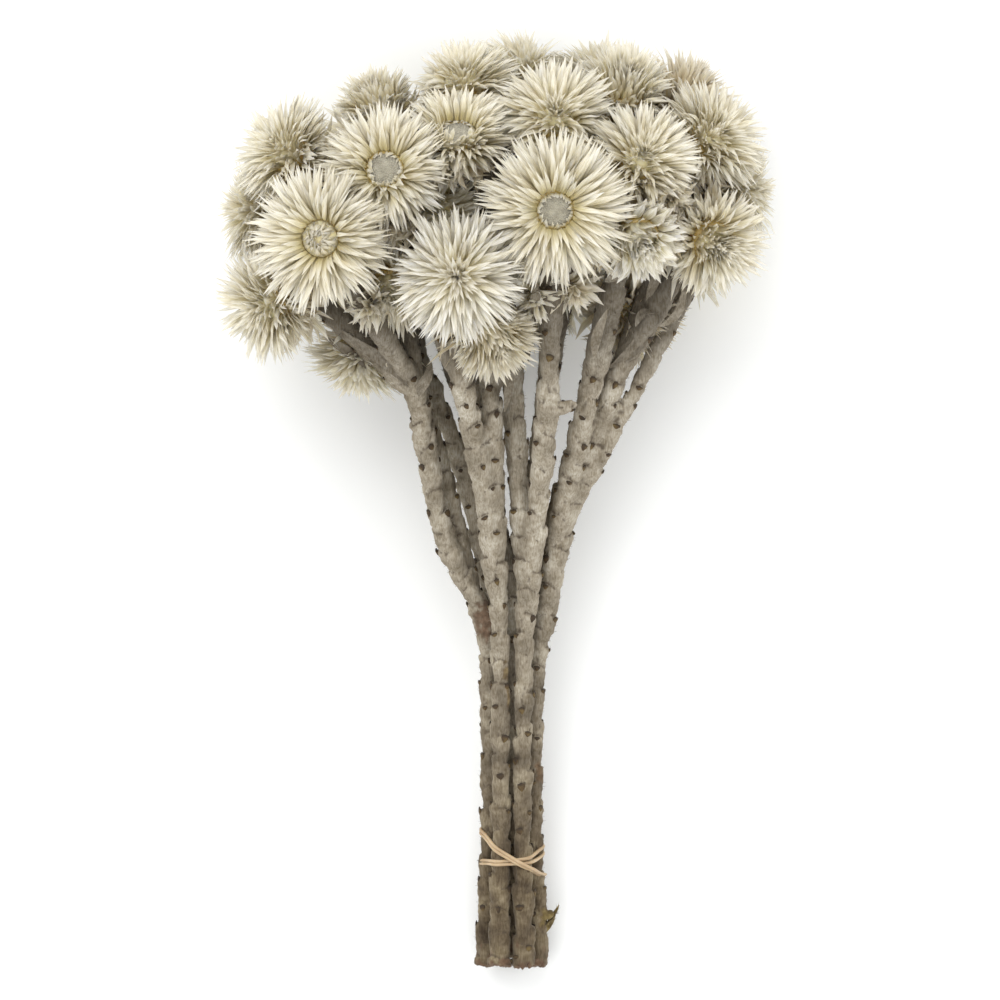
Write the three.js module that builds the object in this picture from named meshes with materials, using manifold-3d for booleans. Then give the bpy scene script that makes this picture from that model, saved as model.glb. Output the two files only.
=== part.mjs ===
// A tied bunch of dried strawflowers: seven woolly, branching stems, their papery blooms and a rubber band.
// Millimetres. The bunch lies on the plane z = 0, with its cut ends at -Y and its head at +Y.

import * as THREE from 'three';
import Module from 'manifold-3d';

const wasm = await Module();
wasm.setup();

const vec = (x, y, z) => new THREE.Vector3(x, y, z);

// Driving dimensions.

const floorZ = 0;                    // what the bunch lies on
const footY = -168.2;                // plane of the cut ends
const bundleX = 5.6;                 // the tied part runs a little right of the middle
const bundleTilt = 0.186;            // the head props the tied part up by this angle, radians
const trunkRadius = 3.6;             // a main stem with its wool
const knobShare = 0.055;             // how far the leaf-base knobs swell and pinch a stem
const stationStep = 15;              // distance between the rings of a stem
const stemGap = 0.55;                // least gap between two different stems
const seatGap = 0.3;                 // gap between a stem's tip and the bloom it carries
const cellGap = 0.2;                 // each bloom stops this far from the plane it shares with a neighbour
const pressDepth = 3;                // bracts begin to bend this far before that plane
const overlapTilt = 0.9;             // that plane leans, so that the bloom further out spreads over the other
const overlapDrop = 4;               // and goes through a point this far under the two discs
const neighbourReach = 64;           // blooms further apart than this can't meet

// Spacing of the seven main stems in the bundle, by distance along it from the cut ends.
const bundleSpacing = [
  { along: 0, pitch: 9.3 },
  { along: 42, pitch: 7.95 },
  { along: 90, pitch: 8.05 },
  { along: 120, pitch: 9.3 },
];

// Seeded numbers.

function randomFrom(seed) {
  let state = seed >>> 0;
  return () => {
    state = (state + 0x6d2b79f5) >>> 0;
    let t = Math.imul(state ^ (state >>> 15), 1 | state);
    t = (t + Math.imul(t ^ (t >>> 7), 61 | t)) ^ t;
    return ((t ^ (t >>> 14)) >>> 0) / 4294967296;
  };
}

// Blooms: where each one sits and looks.

// at: middle of the felt disc. looks: the way it faces. radius: out to the bract tips.
// closed: 0 is wide open, 1 is half shut. yields: how far it gives way to a neighbour (1 is even).
const blooms = {
  bloom_01: { at: [-63, 93, 104], looks: [-0.25, -0.1, 0.96], radius: 27.5, closed: 0.1, yields: 0.85 },
  bloom_02: { at: [-40, 118, 98], looks: [-0.1, 0.2, 0.97], radius: 25, closed: 0.1, yields: 1 },
  bloom_03: { at: [-76, 125, 78], looks: [-0.6, 0.45, 0.6], radius: 25, closed: 0.15, yields: 1 },
  bloom_04: { at: [-82, 70, 76], looks: [-0.7, -0.25, 0.6], radius: 24, closed: 0.3, yields: 1 },
  bloom_05: { at: [-50, 49, 50], looks: [-0.3, -0.85, -0.1], radius: 23, closed: 0.3, yields: 1.1 },
  bloom_06: { at: [-14, 80, 106], looks: [-0.1, -0.1, 0.98], radius: 25.5, closed: 0.1, yields: 1 },
  bloom_07: { at: [21, 103, 109], looks: [0.05, -0.1, 0.99], radius: 28.5, closed: 0, yields: 0.8 },
  bloom_08: { at: [-14, 131, 92], looks: [0, 0.7, 0.7], radius: 22, closed: 0.1, yields: 1.1 },
  bloom_09: { at: [-12, 150, 64], looks: [-0.15, 0.8, 0.6], radius: 24, closed: 0.1, yields: 1 },
  bloom_10: { at: [10, 155, 34], looks: [0.1, 0.9, 0.2], radius: 24, closed: 0.2, yields: 1 },
  bloom_11: { at: [21, 137, 86], looks: [0.05, 0.5, 0.86], radius: 25, closed: 0.1, yields: 1 },
  bloom_12: { at: [-44, 144, 58], looks: [-0.35, 0.85, 0.3], radius: 24, closed: 0.3, yields: 1 },
  bloom_13: { at: [46, 148, 66], looks: [0.15, 0.7, 0.6], radius: 24, closed: 0.6, yields: 1 },
  bloom_14: { at: [68, 146, 36], looks: [0.45, 0.85, 0.1], radius: 24, closed: 0.4, yields: 1 },
  bloom_15: { at: [77, 130, 68], looks: [0.6, 0.45, 0.65], radius: 25, closed: 0.3, yields: 1 },
  bloom_16: { at: [52, 122, 92], looks: [0.2, 0.35, 0.9], radius: 23, closed: 0.3, yields: 1 },
  bloom_17: { at: [51, 93, 95], looks: [0.15, -0.4, 0.85], radius: 19.5, closed: 0.5, yields: 1.1 },
  bloom_18: { at: [78, 92, 79], looks: [0.4, -0.3, 0.85], radius: 25, closed: 0.4, yields: 0.9 },
  bloom_19: { at: [-1, 57, 92], looks: [-0.1, -0.45, 0.88], radius: 18.5, closed: 0.4, yields: 1.1 },
  bloom_20: { at: [88, 112, 44], looks: [0.95, 0.05, 0.2], radius: 24, closed: 0.2, yields: 1 },
  bloom_21: { at: [-88, 104, 46], looks: [-0.95, 0.1, 0.05], radius: 23, closed: 0.2, yields: 1 },
  bloom_22: { at: [-38, 75, 78], looks: [-0.2, -0.5, 0.8], radius: 20.5, closed: 0.4, yields: 1.1 },
  bloom_23: { at: [38, 153, 28], looks: [0.15, 0.95, -0.1], radius: 23, closed: 0.3, yields: 1 },
  bloom_24: { at: [51, 66, 50], looks: [0.5, -0.4, 0.6], radius: 22, closed: 0.5, yields: 1 },
  bloom_25: { at: [-22, 104, 80], looks: [-0.1, 0.05, 0.98], radius: 18.5, closed: 0.5, yields: 1.2 },
  bloom_26: { at: [-66, 84, 14.5], looks: [-0.4, -0.2, -0.85], radius: 25, closed: 0.1, yields: 1 },
  bloom_27: { at: [-46, 128, 20], looks: [-0.35, 0.5, -0.8], radius: 25, closed: 0.1, yields: 1 },
  bloom_28: { at: [-8, 126, 18], looks: [0, 0.35, -0.9], radius: 25, closed: 0.1, yields: 1 },
  bloom_29: { at: [34, 120, 18], looks: [0.1, 0.3, -0.9], radius: 25, closed: 0.1, yields: 1 },
  bloom_30: { at: [70, 92, 14.5], looks: [0.45, -0.1, -0.85], radius: 25, closed: 0.1, yields: 1 },
  bloom_31: { at: [22, 80, 18], looks: [0.1, -0.4, -0.9], radius: 24, closed: 0.2, yields: 1 },
  bloom_32: { at: [-24, 84, 18], looks: [-0.1, -0.3, -0.9], radius: 24, closed: 0.2, yields: 1 },
};

// Two blooms on the under side carry the head. The others stay a little off the surface.
const restingBlooms = ['bloom_26', 'bloom_30'];
const raisedBy = 1.2;

// The bunch fits this box, so its middle is the origin.
const reach = { x: 99.5, y: 169 };

// The cup that carries the bracts, from the stem's seat to the middle of the felt disc.
// out: distance from the bloom's own axis. up: distance along it, with the disc near 0.
const cupRings = [
  { out: 3, up: -13 },
  { out: 6.8, up: -9 },
  { out: 8.5, up: -5.4 },
  { out: 8.6, up: -2 },
  { out: 7.4, up: 1 },
  { out: 5.4, up: -0.6 },
];
const cupSides = 10;
const discUp = 0.3;
const cupRadius = 9.2;               // a ball round the cup, which foreign stems keep clear of
const cupMiddle = -5;

// Where the bract tips of each band of the cup go, as shares of the bloom's radius.
const bractBands = [
  { ring: 0, outward: [0.74, 0.86], up: [-0.44, -0.28] },
  { ring: 1, outward: [0.94, 1], up: [-0.16, -0.02] },
  { ring: 2, outward: [0.94, 0.86], up: [0.1, 0.22] },
  { ring: 3, outward: [0.66, 0.5], up: [0.36, 0.42] },
];

const bloomNames = Object.keys(blooms);
for (const name of bloomNames) {
  const bloom = blooms[name];
  bloom.centre = vec(...bloom.at);
  bloom.facing = vec(...bloom.looks).normalize();
  bloom.side = vec(0.31, 0.17, 0.93).cross(bloom.facing).normalize();
  bloom.across = bloom.facing.clone().cross(bloom.side);
}

// The plane between two blooms. The one further out along their common facing spreads over the other.
function planeBetween(one, two) {
  const towards = two.centre.clone().sub(one.centre);
  const apart = towards.length();
  towards.divideScalar(apart);
  const common = one.facing.clone().add(two.facing).multiplyScalar(0.5);
  const oneShare = one.radius / one.yields;
  const share = oneShare / (oneShare + two.radius / two.yields);
  const pivot = one.centre.clone().addScaledVector(towards, apart * share).addScaledVector(common, -overlapDrop);
  const upperSign = towards.dot(common) <= 0 ? 1 : -1;
  const normal = towards.clone().addScaledVector(common, -overlapTilt * upperSign).normalize();
  return { normal, offset: normal.dot(pivot) };
}

// The planes that hold a bloom in: one towards each near neighbour, the surface, and the bunch's own reach.
function wallsOf(name) {
  const own = blooms[name];
  const walls = [];
  for (const other of bloomNames) {
    const theirs = blooms[other];
    if (other === name || theirs.centre.distanceTo(own.centre) > neighbourReach) continue;
    const first = name < other;
    const plane = first ? planeBetween(own, theirs) : planeBetween(theirs, own);
    const sign = first ? 1 : -1;
    walls.push({ normal: plane.normal.multiplyScalar(sign), offset: plane.offset * sign - cellGap });
  }
  const lowest = restingBlooms.includes(name) ? floorZ : floorZ + raisedBy;
  walls.push({ normal: vec(0, 0, -1), offset: -lowest, hard: true });
  walls.push({ normal: vec(-1, 0, 0), offset: reach.x });
  walls.push({ normal: vec(1, 0, 0), offset: reach.x });
  walls.push({ normal: vec(0, 1, 0), offset: reach.y });
  return walls;
}

// Bends a point back inside the walls, gently at first, and never through them.
function press(point, walls) {
  const bent = point.clone();
  for (let round = 0; round < 4; round += 1) {
    for (const wall of walls) {
      const inside = wall.offset - wall.normal.dot(bent);
      if (inside >= pressDepth) continue;
      const soft = round === 0 && !wall.hard;
      const kept = soft ? pressDepth * Math.exp((inside - pressDepth) / pressDepth) : Math.max(inside, 0);
      bent.addScaledVector(wall.normal, inside - kept);
    }
  }
  return bent;
}

// Stems: where they run.

// The middle of the bundle at a distance along it from the cut ends, and the directions across it.
const bundleAxis = vec(0, Math.cos(bundleTilt), Math.sin(bundleTilt));
const bundleUp = vec(0, -Math.sin(bundleTilt), Math.cos(bundleTilt));
const footDrop = bundleSpacing[0].pitch * Math.sin(Math.PI / 3) + trunkRadius * 0.8;

function bundlePoint(along, placeAngle) {
  let pitch = bundleSpacing[bundleSpacing.length - 1].pitch;
  for (let i = 1; i < bundleSpacing.length; i += 1) {
    const before = bundleSpacing[i - 1];
    const after = bundleSpacing[i];
    if (along <= after.along) {
      const share = (along - before.along) / (after.along - before.along);
      pitch = THREE.MathUtils.lerp(before.pitch, after.pitch, share);
      break;
    }
  }
  const point = vec(bundleX, footY, floorZ + footDrop * Math.cos(bundleTilt));
  point.addScaledVector(bundleAxis, along);
  if (placeAngle !== null) {
    const turn = THREE.MathUtils.degToRad(placeAngle);
    point.x += pitch * Math.cos(turn);
    point.addScaledVector(bundleUp, pitch * Math.sin(turn));
  }
  return point;
}

// place: the main stem's place round the bundle in degrees, null for the one in the middle.
// from, to: how far along the bundle it starts and where its last fork is.
// Each limb leaves its parent at a share of the parent's length and ends at a fork or in a bloom.
const stems = {
  stem_left: {
    place: 180, from: 0.6, to: 128,
    limbs: {
      outer: {
        on: 'trunk', share: 1, radius: 4.2,
        via: [[-16.5, -30, 37], [-22, -17, 40], [-23.5, 2, 46], [-25, 26, 56], [-29, 41, 63]],
      },
      inner: {
        on: 'trunk', share: 0.9, radius: 3.4,
        via: [[-12, -22, 34], [-15.5, 4, 36], [-21, 30, 42], [-34, 52, 48]],
      },
      toSide: { on: 'outer', share: 0.97, radius: 3.8, via: [[-46, 53, 69]], bloom: 'bloom_04' },
      toFront: { on: 'outer', share: 1, radius: 3.8, via: [[-40, 58, 76], [-56, 78, 86]], bloom: 'bloom_01' },
      toShade: { on: 'outer', share: 0.94, radius: 3.2, via: [[-33, 60, 60]], bloom: 'bloom_22' },
      toFarSide: { on: 'inner', share: 1, radius: 3.4, via: [[-56, 80, 50]], bloom: 'bloom_21' },
      toTop: {
        on: 'inner', share: 0.96, radius: 3.4,
        via: [[-46, 78, 56], [-60, 102, 64]],
        bloom: 'bloom_03',
      },
    },
  },
  stem_front_left: {
    place: 120, from: 2.4, to: 134,
    limbs: {
      bright: {
        on: 'trunk', share: 0.95, radius: 4.4,
        via: [[1.3, -22, 46], [-1, -8, 52], [-5, 10, 60], [-10, 27, 68], [-13, 44, 76]],
      },
      short: {
        on: 'trunk', share: 1, radius: 4.2,
        via: [[2, -2, 50], [0.5, 17, 58], [-3, 32, 64], [-2.5, 48, 67]],
      },
      toMiddle: { on: 'bright', share: 1, radius: 3.6, via: [[-15, 62, 86]], bloom: 'bloom_06' },
      toLeft: {
        on: 'bright', share: 0.97, radius: 3.6,
        via: [[-27, 70, 68], [-37, 98, 76]],
        bloom: 'bloom_02',
      },
      toDeep: { on: 'bright', share: 0.94, radius: 3.2, via: [[-20, 74, 64]], bloom: 'bloom_25' },
      toLow: { on: 'short', share: 1, radius: 3.2, via: [], bloom: 'bloom_19' },
    },
  },
  stem_front_right: {
    place: 60, from: 1.2, to: 128,
    limbs: {
      front: {
        on: 'trunk', share: 0.97, radius: 4.4,
        via: [[12, -24, 46], [16, -5, 54], [18, 18, 64], [18.5, 40, 76]],
      },
      behind: {
        on: 'trunk', share: 1, radius: 4.2,
        via: [[6, -10, 44], [8, 12, 50], [6, 40, 56], [4, 66, 60]],
      },
      toHero: { on: 'front', share: 1, radius: 3.8, via: [[20, 66, 86], [20, 90, 92]], bloom: 'bloom_07' },
      toUpper: {
        on: 'front', share: 0.96, radius: 3.4,
        via: [[20, 72, 72], [20, 108, 76]],
        bloom: 'bloom_11',
      },
      toDisc: { on: 'behind', share: 1, radius: 3.4, via: [[-4, 94, 70], [-12, 114, 78]], bloom: 'bloom_08' },
      toTop: {
        on: 'behind', share: 0.97, radius: 3.4,
        via: [[-2, 100, 56], [-8, 124, 56]],
        bloom: 'bloom_09',
      },
    },
  },
  stem_right: {
    place: 0, from: 0, to: 122,
    limbs: {
      slim: {
        on: 'second', share: 0.42, radius: 2.9,
        via: [[38, 12, 52], [46, 32, 56], [57, 53, 56], [65, 66, 54], [70, 78, 50]],
      },
      second: {
        on: 'trunk', share: 1, radius: 4.2,
        via: [[20, -26, 38], [24, -8, 44], [31, 11, 50], [37, 28, 54], [44, 46, 60]],
      },
      upright: {
        on: 'trunk', share: 0.93, radius: 4.4,
        via: [[19.5, -18, 44], [26, 10, 54], [33, 34, 64], [38, 60, 72], [42, 76, 76]],
      },
      toNear: { on: 'upright', share: 0.96, radius: 3.2, via: [[46, 72, 78]], bloom: 'bloom_17' },
      toMid: { on: 'upright', share: 1, radius: 3.6, via: [[44, 96, 76]], bloom: 'bloom_16' },
      toLowRight: {
        on: 'second', share: 1, radius: 3.6,
        via: [[58, 66, 66], [67, 82, 68]],
        bloom: 'bloom_18',
      },
      toCorner: {
        on: 'second', share: 0.96, radius: 3.4,
        via: [[56, 78, 58], [66, 108, 60]],
        bloom: 'bloom_15',
      },
      toEdge: { on: 'slim', share: 1, radius: 2.9, via: [[69, 96, 44]], bloom: 'bloom_20' },
    },
  },
  stem_middle: {
    place: null, from: 3, to: 132,
    limbs: {
      left: {
        on: 'trunk', share: 1, radius: 3.9,
        via: [[1, -12, 40], [-5, 20, 46], [-12, 60, 52], [-24, 96, 54]],
      },
      right: { on: 'trunk', share: 0.97, radius: 3.9, via: [[11, -12, 38], [16, 30, 50], [24, 80, 58]] },
      toBack: { on: 'left', share: 1, radius: 3.4, via: [[-34, 118, 54]], bloom: 'bloom_12' },
      toCrown: { on: 'left', share: 0.8, radius: 3.4, via: [[-4, 96, 44], [5, 128, 36]], bloom: 'bloom_10' },
      toSmooth: { on: 'right', share: 1, radius: 3.4, via: [[36, 118, 58]], bloom: 'bloom_13' },
      toFar: { on: 'right', share: 0.9, radius: 3.4, via: [[27, 96, 44], [34, 124, 34]], bloom: 'bloom_23' },
    },
  },
  stem_under_left: {
    place: 240, from: 0.3, to: 124,
    limbs: {
      side: {
        on: 'trunk', share: 0.96, radius: 3.9,
        via: [[-4, -26, 28], [-10, 2, 32], [-20, 34, 38], [-30, 52, 40]],
      },
      low: { on: 'trunk', share: 1, radius: 3.9, via: [[0, -14, 30], [-4, 24, 34], [-8, 56, 36]] },
      toHanging: { on: 'side', share: 0.96, radius: 3.4, via: [[-36, 60, 46]], bloom: 'bloom_05' },
      toRest: { on: 'side', share: 1, radius: 3.6, via: [[-48, 74, 36]], bloom: 'bloom_26' },
      toUnder: { on: 'low', share: 0.95, radius: 3.4, via: [[-18, 74, 36]], bloom: 'bloom_32' },
      toCentre: { on: 'low', share: 1, radius: 3.4, via: [[-10, 96, 36]], bloom: 'bloom_28' },
      toLeft: {
        on: 'low', share: 0.98, radius: 3.4,
        via: [[-24, 88, 40], [-36, 110, 38]],
        bloom: 'bloom_27',
      },
    },
  },
  stem_under_right: {
    place: 300, from: 0.3, to: 120,
    limbs: {
      side: {
        on: 'trunk', share: 0.96, radius: 3.9,
        via: [[17, -26, 26], [24, 4, 32], [34, 36, 38], [44, 56, 38]],
      },
      low: { on: 'trunk', share: 1, radius: 3.9, via: [[13, -14, 28], [16, 24, 32], [20, 54, 34]] },
      toDark: { on: 'side', share: 0.9, radius: 3.2, via: [], bloom: 'bloom_24' },
      toRest: { on: 'side', share: 1, radius: 3.6, via: [[56, 76, 36]], bloom: 'bloom_30' },
      toCorner: {
        on: 'side', share: 0.97, radius: 3.4,
        via: [[54, 98, 38], [60, 122, 36]],
        bloom: 'bloom_14',
      },
      toUnder: { on: 'low', share: 0.95, radius: 3.4, via: [[22, 72, 36]], bloom: 'bloom_31' },
      toCentre: { on: 'low', share: 1, radius: 3.4, via: [[28, 92, 36]], bloom: 'bloom_29' },
    },
  },
};

const trunkMarks = [42, 70, 95];     // a main stem also goes through these places along the bundle
const seatRun = 9;                   // the last stretch to a bloom runs straight for this far

// A limb as a row of points, three to a station. Forks share one point, so that they move together.
const pointsPerStation = 3;

function route(points) {
  const curve = new THREE.CatmullRomCurve3(points, false, 'centripetal');
  const count = Math.max(1, Math.round(curve.getLength() / stationStep));
  return curve.getSpacedPoints(count * pointsPerStation);
}

function bloomSeat(bloom, behind) {
  return bloom.centre.clone().addScaledVector(bloom.facing, cupRings[0].up - behind);
}

const limbs = [];

function addLimb(stem, key, points, radius, locked, bloomName) {
  const limb = { stem, key, radius, bloom: bloomName, points: [] };
  const spots = route(points);
  spots.forEach((spot, i) => {
    limb.points.push({ at: spot, stem, radius, locked: locked(spot, i, spots.length) });
  });
  limbs.push(limb);
  return limb;
}

for (const [stemName, stem] of Object.entries(stems)) {
  const spots = [];
  for (const mark of [stem.from, ...trunkMarks, stem.to]) spots.push(bundlePoint(mark, stem.place));
  const trunk = addLimb(stemName, 'trunk', spots, trunkRadius, () => true, null);
  const made = { trunk };
  const waiting = Object.entries(stem.limbs);
  while (waiting.length > 0) {
    const [key, plan] = waiting.shift();
    const parent = made[plan.on];
    if (!parent) {
      waiting.push([key, plan]);
      continue;
    }
    const start = parent.points[Math.round(plan.share * (parent.points.length - 1))];
    const spotsOn = [start.at.clone()];
    for (const place of plan.via) spotsOn.push(vec(...place));
    const bloom = plan.bloom ? blooms[plan.bloom] : null;
    if (bloom) {
      spotsOn.push(bloomSeat(bloom, seatRun));
      spotsOn.push(bloomSeat(bloom, seatGap));
    }
    const held = (spot, i, count) => bloom !== null && i >= count - 2;
    made[key] = addLimb(stemName, key, spotsOn, plan.radius, held, plan.bloom);
    made[key].points[0] = start;
  }
}

const spreading = {
  rounds: 160,
  room: 0.9,                         // pushed apart this much further than the least gap
  smoothing: 0.12,                   // each round moves a point this share of the way to its neighbours' middle
  unsmoothed: 2,                     // the last rounds only push
  floorRoom: 1,
};

// Pushes foreign stems apart, and away from the cups of blooms that they don't carry, and keeps each limb smooth.
function spread() {
  const all = [];
  for (const limb of limbs) {
    limb.points.forEach((point, i) => {
      if (i > 0 || limb.key === 'trunk') all.push({ point, limb });
    });
  }
  const push = vec(0, 0, 0);
  for (let round = 0; round < spreading.rounds; round += 1) {
    for (let a = 0; a < all.length; a += 1) {
      const one = all[a].point;
      for (let b = a + 1; b < all.length; b += 1) {
        const two = all[b].point;
        if (one.stem === two.stem || (one.locked && two.locked)) continue;
        const need = (one.radius + two.radius) * (1 + knobShare) + stemGap + spreading.room;
        push.subVectors(one.at, two.at);
        const apart = push.length();
        if (apart >= need) continue;
        push.multiplyScalar((need - apart) / Math.max(apart, 0.01));
        if (one.locked) two.at.sub(push);
        else if (two.locked) one.at.add(push);
        else {
          one.at.addScaledVector(push, 0.5);
          two.at.addScaledVector(push, -0.5);
        }
      }
      if (one.locked) continue;
      for (const name of bloomNames) {
        if (name === all[a].limb.bloom) continue;
        const cup = blooms[name].centre.clone().addScaledVector(blooms[name].facing, cupMiddle);
        const need = cupRadius + one.radius + stemGap;
        push.subVectors(one.at, cup);
        const apart = push.length();
        if (apart < need) one.at.addScaledVector(push, (need - apart) / apart);
      }
      one.at.z = Math.max(one.at.z, floorZ + one.radius + spreading.floorRoom);
    }
    if (round >= spreading.rounds - spreading.unsmoothed) continue;
    for (const limb of limbs) {
      for (let i = 1; i < limb.points.length - 1; i += 1) {
        const point = limb.points[i];
        if (point.locked) continue;
        const middle = limb.points[i - 1].at.clone().add(limb.points[i + 1].at).multiplyScalar(0.5);
        point.at.lerp(middle, spreading.smoothing);
      }
    }
  }
}

spread();

// Stems: their solids.

// A solid from its points and outward-facing triangles.
function solidFrom(points, triangles) {
  const vertProperties = new Float32Array(points.length * 3);
  points.forEach((point, i) => point.toArray(vertProperties, i * 3));
  return new wasm.Manifold(new wasm.Mesh({ numProp: 3, vertProperties, triVerts: Uint32Array.from(triangles) }));
}

const ringTwist = 0.5;               // a ring turns by up to this share of one side
const trunkSides = 6;
const branchSides = 5;

// A limb of round section through rings that swell and pinch like leaf bases, with flat ends.
function limbSolid(places, radii, sides, random, lastFacing) {
  const points = [];
  const triangles = [];
  let side = vec(1, 0, 0);
  places.forEach((place, ring) => {
    const before = places[Math.max(ring - 1, 0)];
    const after = places[Math.min(ring + 1, places.length - 1)];
    let along = after.clone().sub(before).normalize();
    if (ring === places.length - 1 && lastFacing) along = lastFacing;
    side = side.clone().addScaledVector(along, -side.dot(along)).normalize();
    const up = along.clone().cross(side);
    const twist = random() * ringTwist;
    for (let k = 0; k < sides; k += 1) {
      const angle = ((k + (ring % 2) / 2) / sides) * 2 * Math.PI + twist / sides;
      const point = place.clone();
      point.addScaledVector(side, Math.cos(angle) * radii[ring]);
      point.addScaledVector(up, Math.sin(angle) * radii[ring]);
      point.z = Math.max(point.z, floorZ);
      points.push(point);
    }
  });
  const last = (places.length - 1) * sides;
  for (let ring = 0; ring < places.length - 1; ring += 1) {
    const low = ring * sides;
    const high = low + sides;
    const shift = ring % 2;
    for (let k = 0; k < sides; k += 1) {
      const next = (k + 1) % sides;
      if (shift === 0) {
        triangles.push(low + k, low + next, high + k);
        triangles.push(low + next, high + next, high + k);
      } else {
        triangles.push(low + k, low + next, high + next);
        triangles.push(low + k, high + next, high + k);
      }
    }
  }
  for (let k = 1; k < sides - 1; k += 1) {
    triangles.push(0, k + 1, k);
    triangles.push(last, last + k, last + k + 1);
  }
  return solidFrom(points, triangles);
}

const leaf = {
  width: 6.5,
  length: 17,
  longer: 8,                         // some are up to this much longer
  along: 0.9,                        // how far the tip is along the limb, as a share of the length
  out: 0.32,                         // how far it is away from the limb
  rootDepth: 0.55,                   // the root is this share of the limb's radius from its middle
  rootWidth: 0.28,                   // half the width at the root, as a share of the full width
  widest: 0.45,                      // where along the leaf it is widest
  bow: 0.28,                         // how far it is bowed up there, as a share of the width
  rib: [0.9, 0.2],                   // height of the midrib: always this, and this share of the half width
  onBranch: 0.35,                    // where on a limb that carries a bloom
  onFork: [0.62, 0.2],               // where on a limb that forks: the first one, and how much further the next
  fewestPoints: 6,                   // a shorter limb has none
  apart: 11,                         // from one leaf to the next
  tipRoom: 1.6,                      // gap to foreign limbs
  middleRoom: 2.5,                   // and as much more at its middle
  cupRoom: 3,
};

// A withered leaf: a long thin blade with a raised midrib, its root sunk in the limb.
function leafSolid(root, tip, outward) {
  const along = tip.clone().sub(root);
  const across = along.clone().cross(outward).normalize();
  const crown = across.clone().cross(along).normalize();
  const middle = root.clone().addScaledVector(along, leaf.widest).addScaledVector(crown, leaf.width * leaf.bow);
  const section = (place, half) => [
    place.clone().addScaledVector(across, half),
    place.clone().addScaledVector(across, -half),
    place.clone().addScaledVector(crown, leaf.rib[0] + half * leaf.rib[1]),
  ];
  const points = [...section(root, leaf.width * leaf.rootWidth), ...section(middle, leaf.width / 2), tip];
  const triangles = [0, 2, 1];
  for (let k = 0; k < 3; k += 1) {
    const next = (k + 1) % 3;
    triangles.push(k, next, 3 + k);
    triangles.push(next, 3 + next, 3 + k);
    triangles.push(3 + k, 3 + next, 6);
  }
  const solid = solidFrom(points, triangles);
  return solid.volume() > 0 ? solid : solidFrom(points, triangles.reverse());
}

// Least distance from a point to any foreign limb's surface.
function clearanceAt(point, ownStem) {
  let least = Infinity;
  for (const limb of limbs) {
    if (limb.stem === ownStem) continue;
    for (const spot of limb.points) least = Math.min(least, spot.at.distanceTo(point) - spot.radius);
  }
  return least;
}

const leaves = [];

const knobs = {
  onBranch: 0.8,                     // weaker on a limb that carries a bloom
  least: 0.4,                        // every knob has at least this share of the full swell
  rootShare: 0.95,                   // a limb starts inside the main stem's thickness
  neck: 1.05,                        // and is nearly as thin as the bloom's seat at its neck
};

function limbParts(limb, random) {
  const neck = limb.bloom ? limb.points.length - 3 : 0;
  const stations = limb.points.filter((point, i) => i % pointsPerStation === 0 || i === neck);
  const places = stations.map((point) => point.at);
  const knob = limb.bloom ? knobShare * knobs.onBranch : knobShare;
  const radii = stations.map((point, i) => {
    const swell = knobs.least + (1 - knobs.least) * random();
    return limb.radius * (1 + knob * (i % 2 ? -1 : 1) * swell);
  });
  radii[0] = limb.key === 'trunk' ? trunkRadius : Math.min(radii[0], trunkRadius * knobs.rootShare);
  if (limb.bloom) {
    radii[radii.length - 1] = cupRings[0].out;
    radii[radii.length - 2] = Math.min(limb.radius, cupRings[0].out * knobs.neck);
  }
  const sides = limb.bloom ? branchSides : trunkSides;
  const facing = limb.bloom ? blooms[limb.bloom].facing : null;
  return [limbSolid(places, radii, sides, random, facing)];
}

// Two withered leaves where a limb nears its blooms, left out where there is no room for them.
function leafParts(limb, random) {
  const parts = [];
  if (limb.key === 'trunk' || limb.points.length < leaf.fewestPoints) return parts;
  const count = limb.bloom ? 1 : 2;
  for (let k = 0; k < count; k += 1) {
    const share = limb.bloom ? leaf.onBranch : leaf.onFork[0] + leaf.onFork[1] * k;
    const i = Math.floor(limb.points.length * share);
    const spot = limb.points[i];
    const next = limb.points[i + 1];
    const along = next.at.clone().sub(spot.at).normalize();
    const outward = vec(random() - 0.5, random() - 0.5, random() - 0.3);
    outward.addScaledVector(along, -outward.dot(along)).normalize();
    const length = leaf.length + leaf.longer * random();
    const root = spot.at.clone().addScaledVector(outward, limb.radius * leaf.rootDepth);
    const tip = root.clone().addScaledVector(along, length * leaf.along).addScaledVector(outward, length * leaf.out);
    const middle = root.clone().lerp(tip, 0.5);
    const room = Math.min(clearanceAt(tip, limb.stem), clearanceAt(middle, limb.stem) - leaf.middleRoom);
    let cups = Infinity;
    for (const name of bloomNames) {
      const cup = blooms[name].centre.clone().addScaledVector(blooms[name].facing, cupMiddle);
      cups = Math.min(cups, cup.distanceTo(tip), cup.distanceTo(middle));
    }
    const nearLeaf = leaves.some((other) => {
      const theirs = other.root.clone().lerp(other.tip, 0.5);
      const apart = Math.min(theirs.distanceTo(middle), theirs.distanceTo(tip), other.tip.distanceTo(middle));
      return apart < leaf.apart;
    });
    if (room < leaf.tipRoom || cups < cupRadius + leaf.cupRoom || nearLeaf) continue;
    parts.push(leafSolid(root, tip, outward));
    leaves.push({ stem: limb.stem, root, tip });
  }
  return parts;
}

// Short broken side shoots: on which limb, how far along, which way and how long.
const stubs = [
  { stem: 'stem_right', key: 'trunk', share: 0.14, towards: [1, 0.5, 0.3], length: 4, radius: 1.7 },
  { stem: 'stem_left', key: 'trunk', share: 1, towards: [-1, 0.2, 0.3], length: 3.5, radius: 1.8 },
  { stem: 'stem_front_right', key: 'front', share: 0.9, towards: [0.8, 0.3, 0.6], length: 9, radius: 2.6 },
];

const stubMiddle = 0.6;              // a shoot keeps its thickness up to this share of its length
const stubEnd = 0.7;                 // and thins to this share of it

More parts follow.
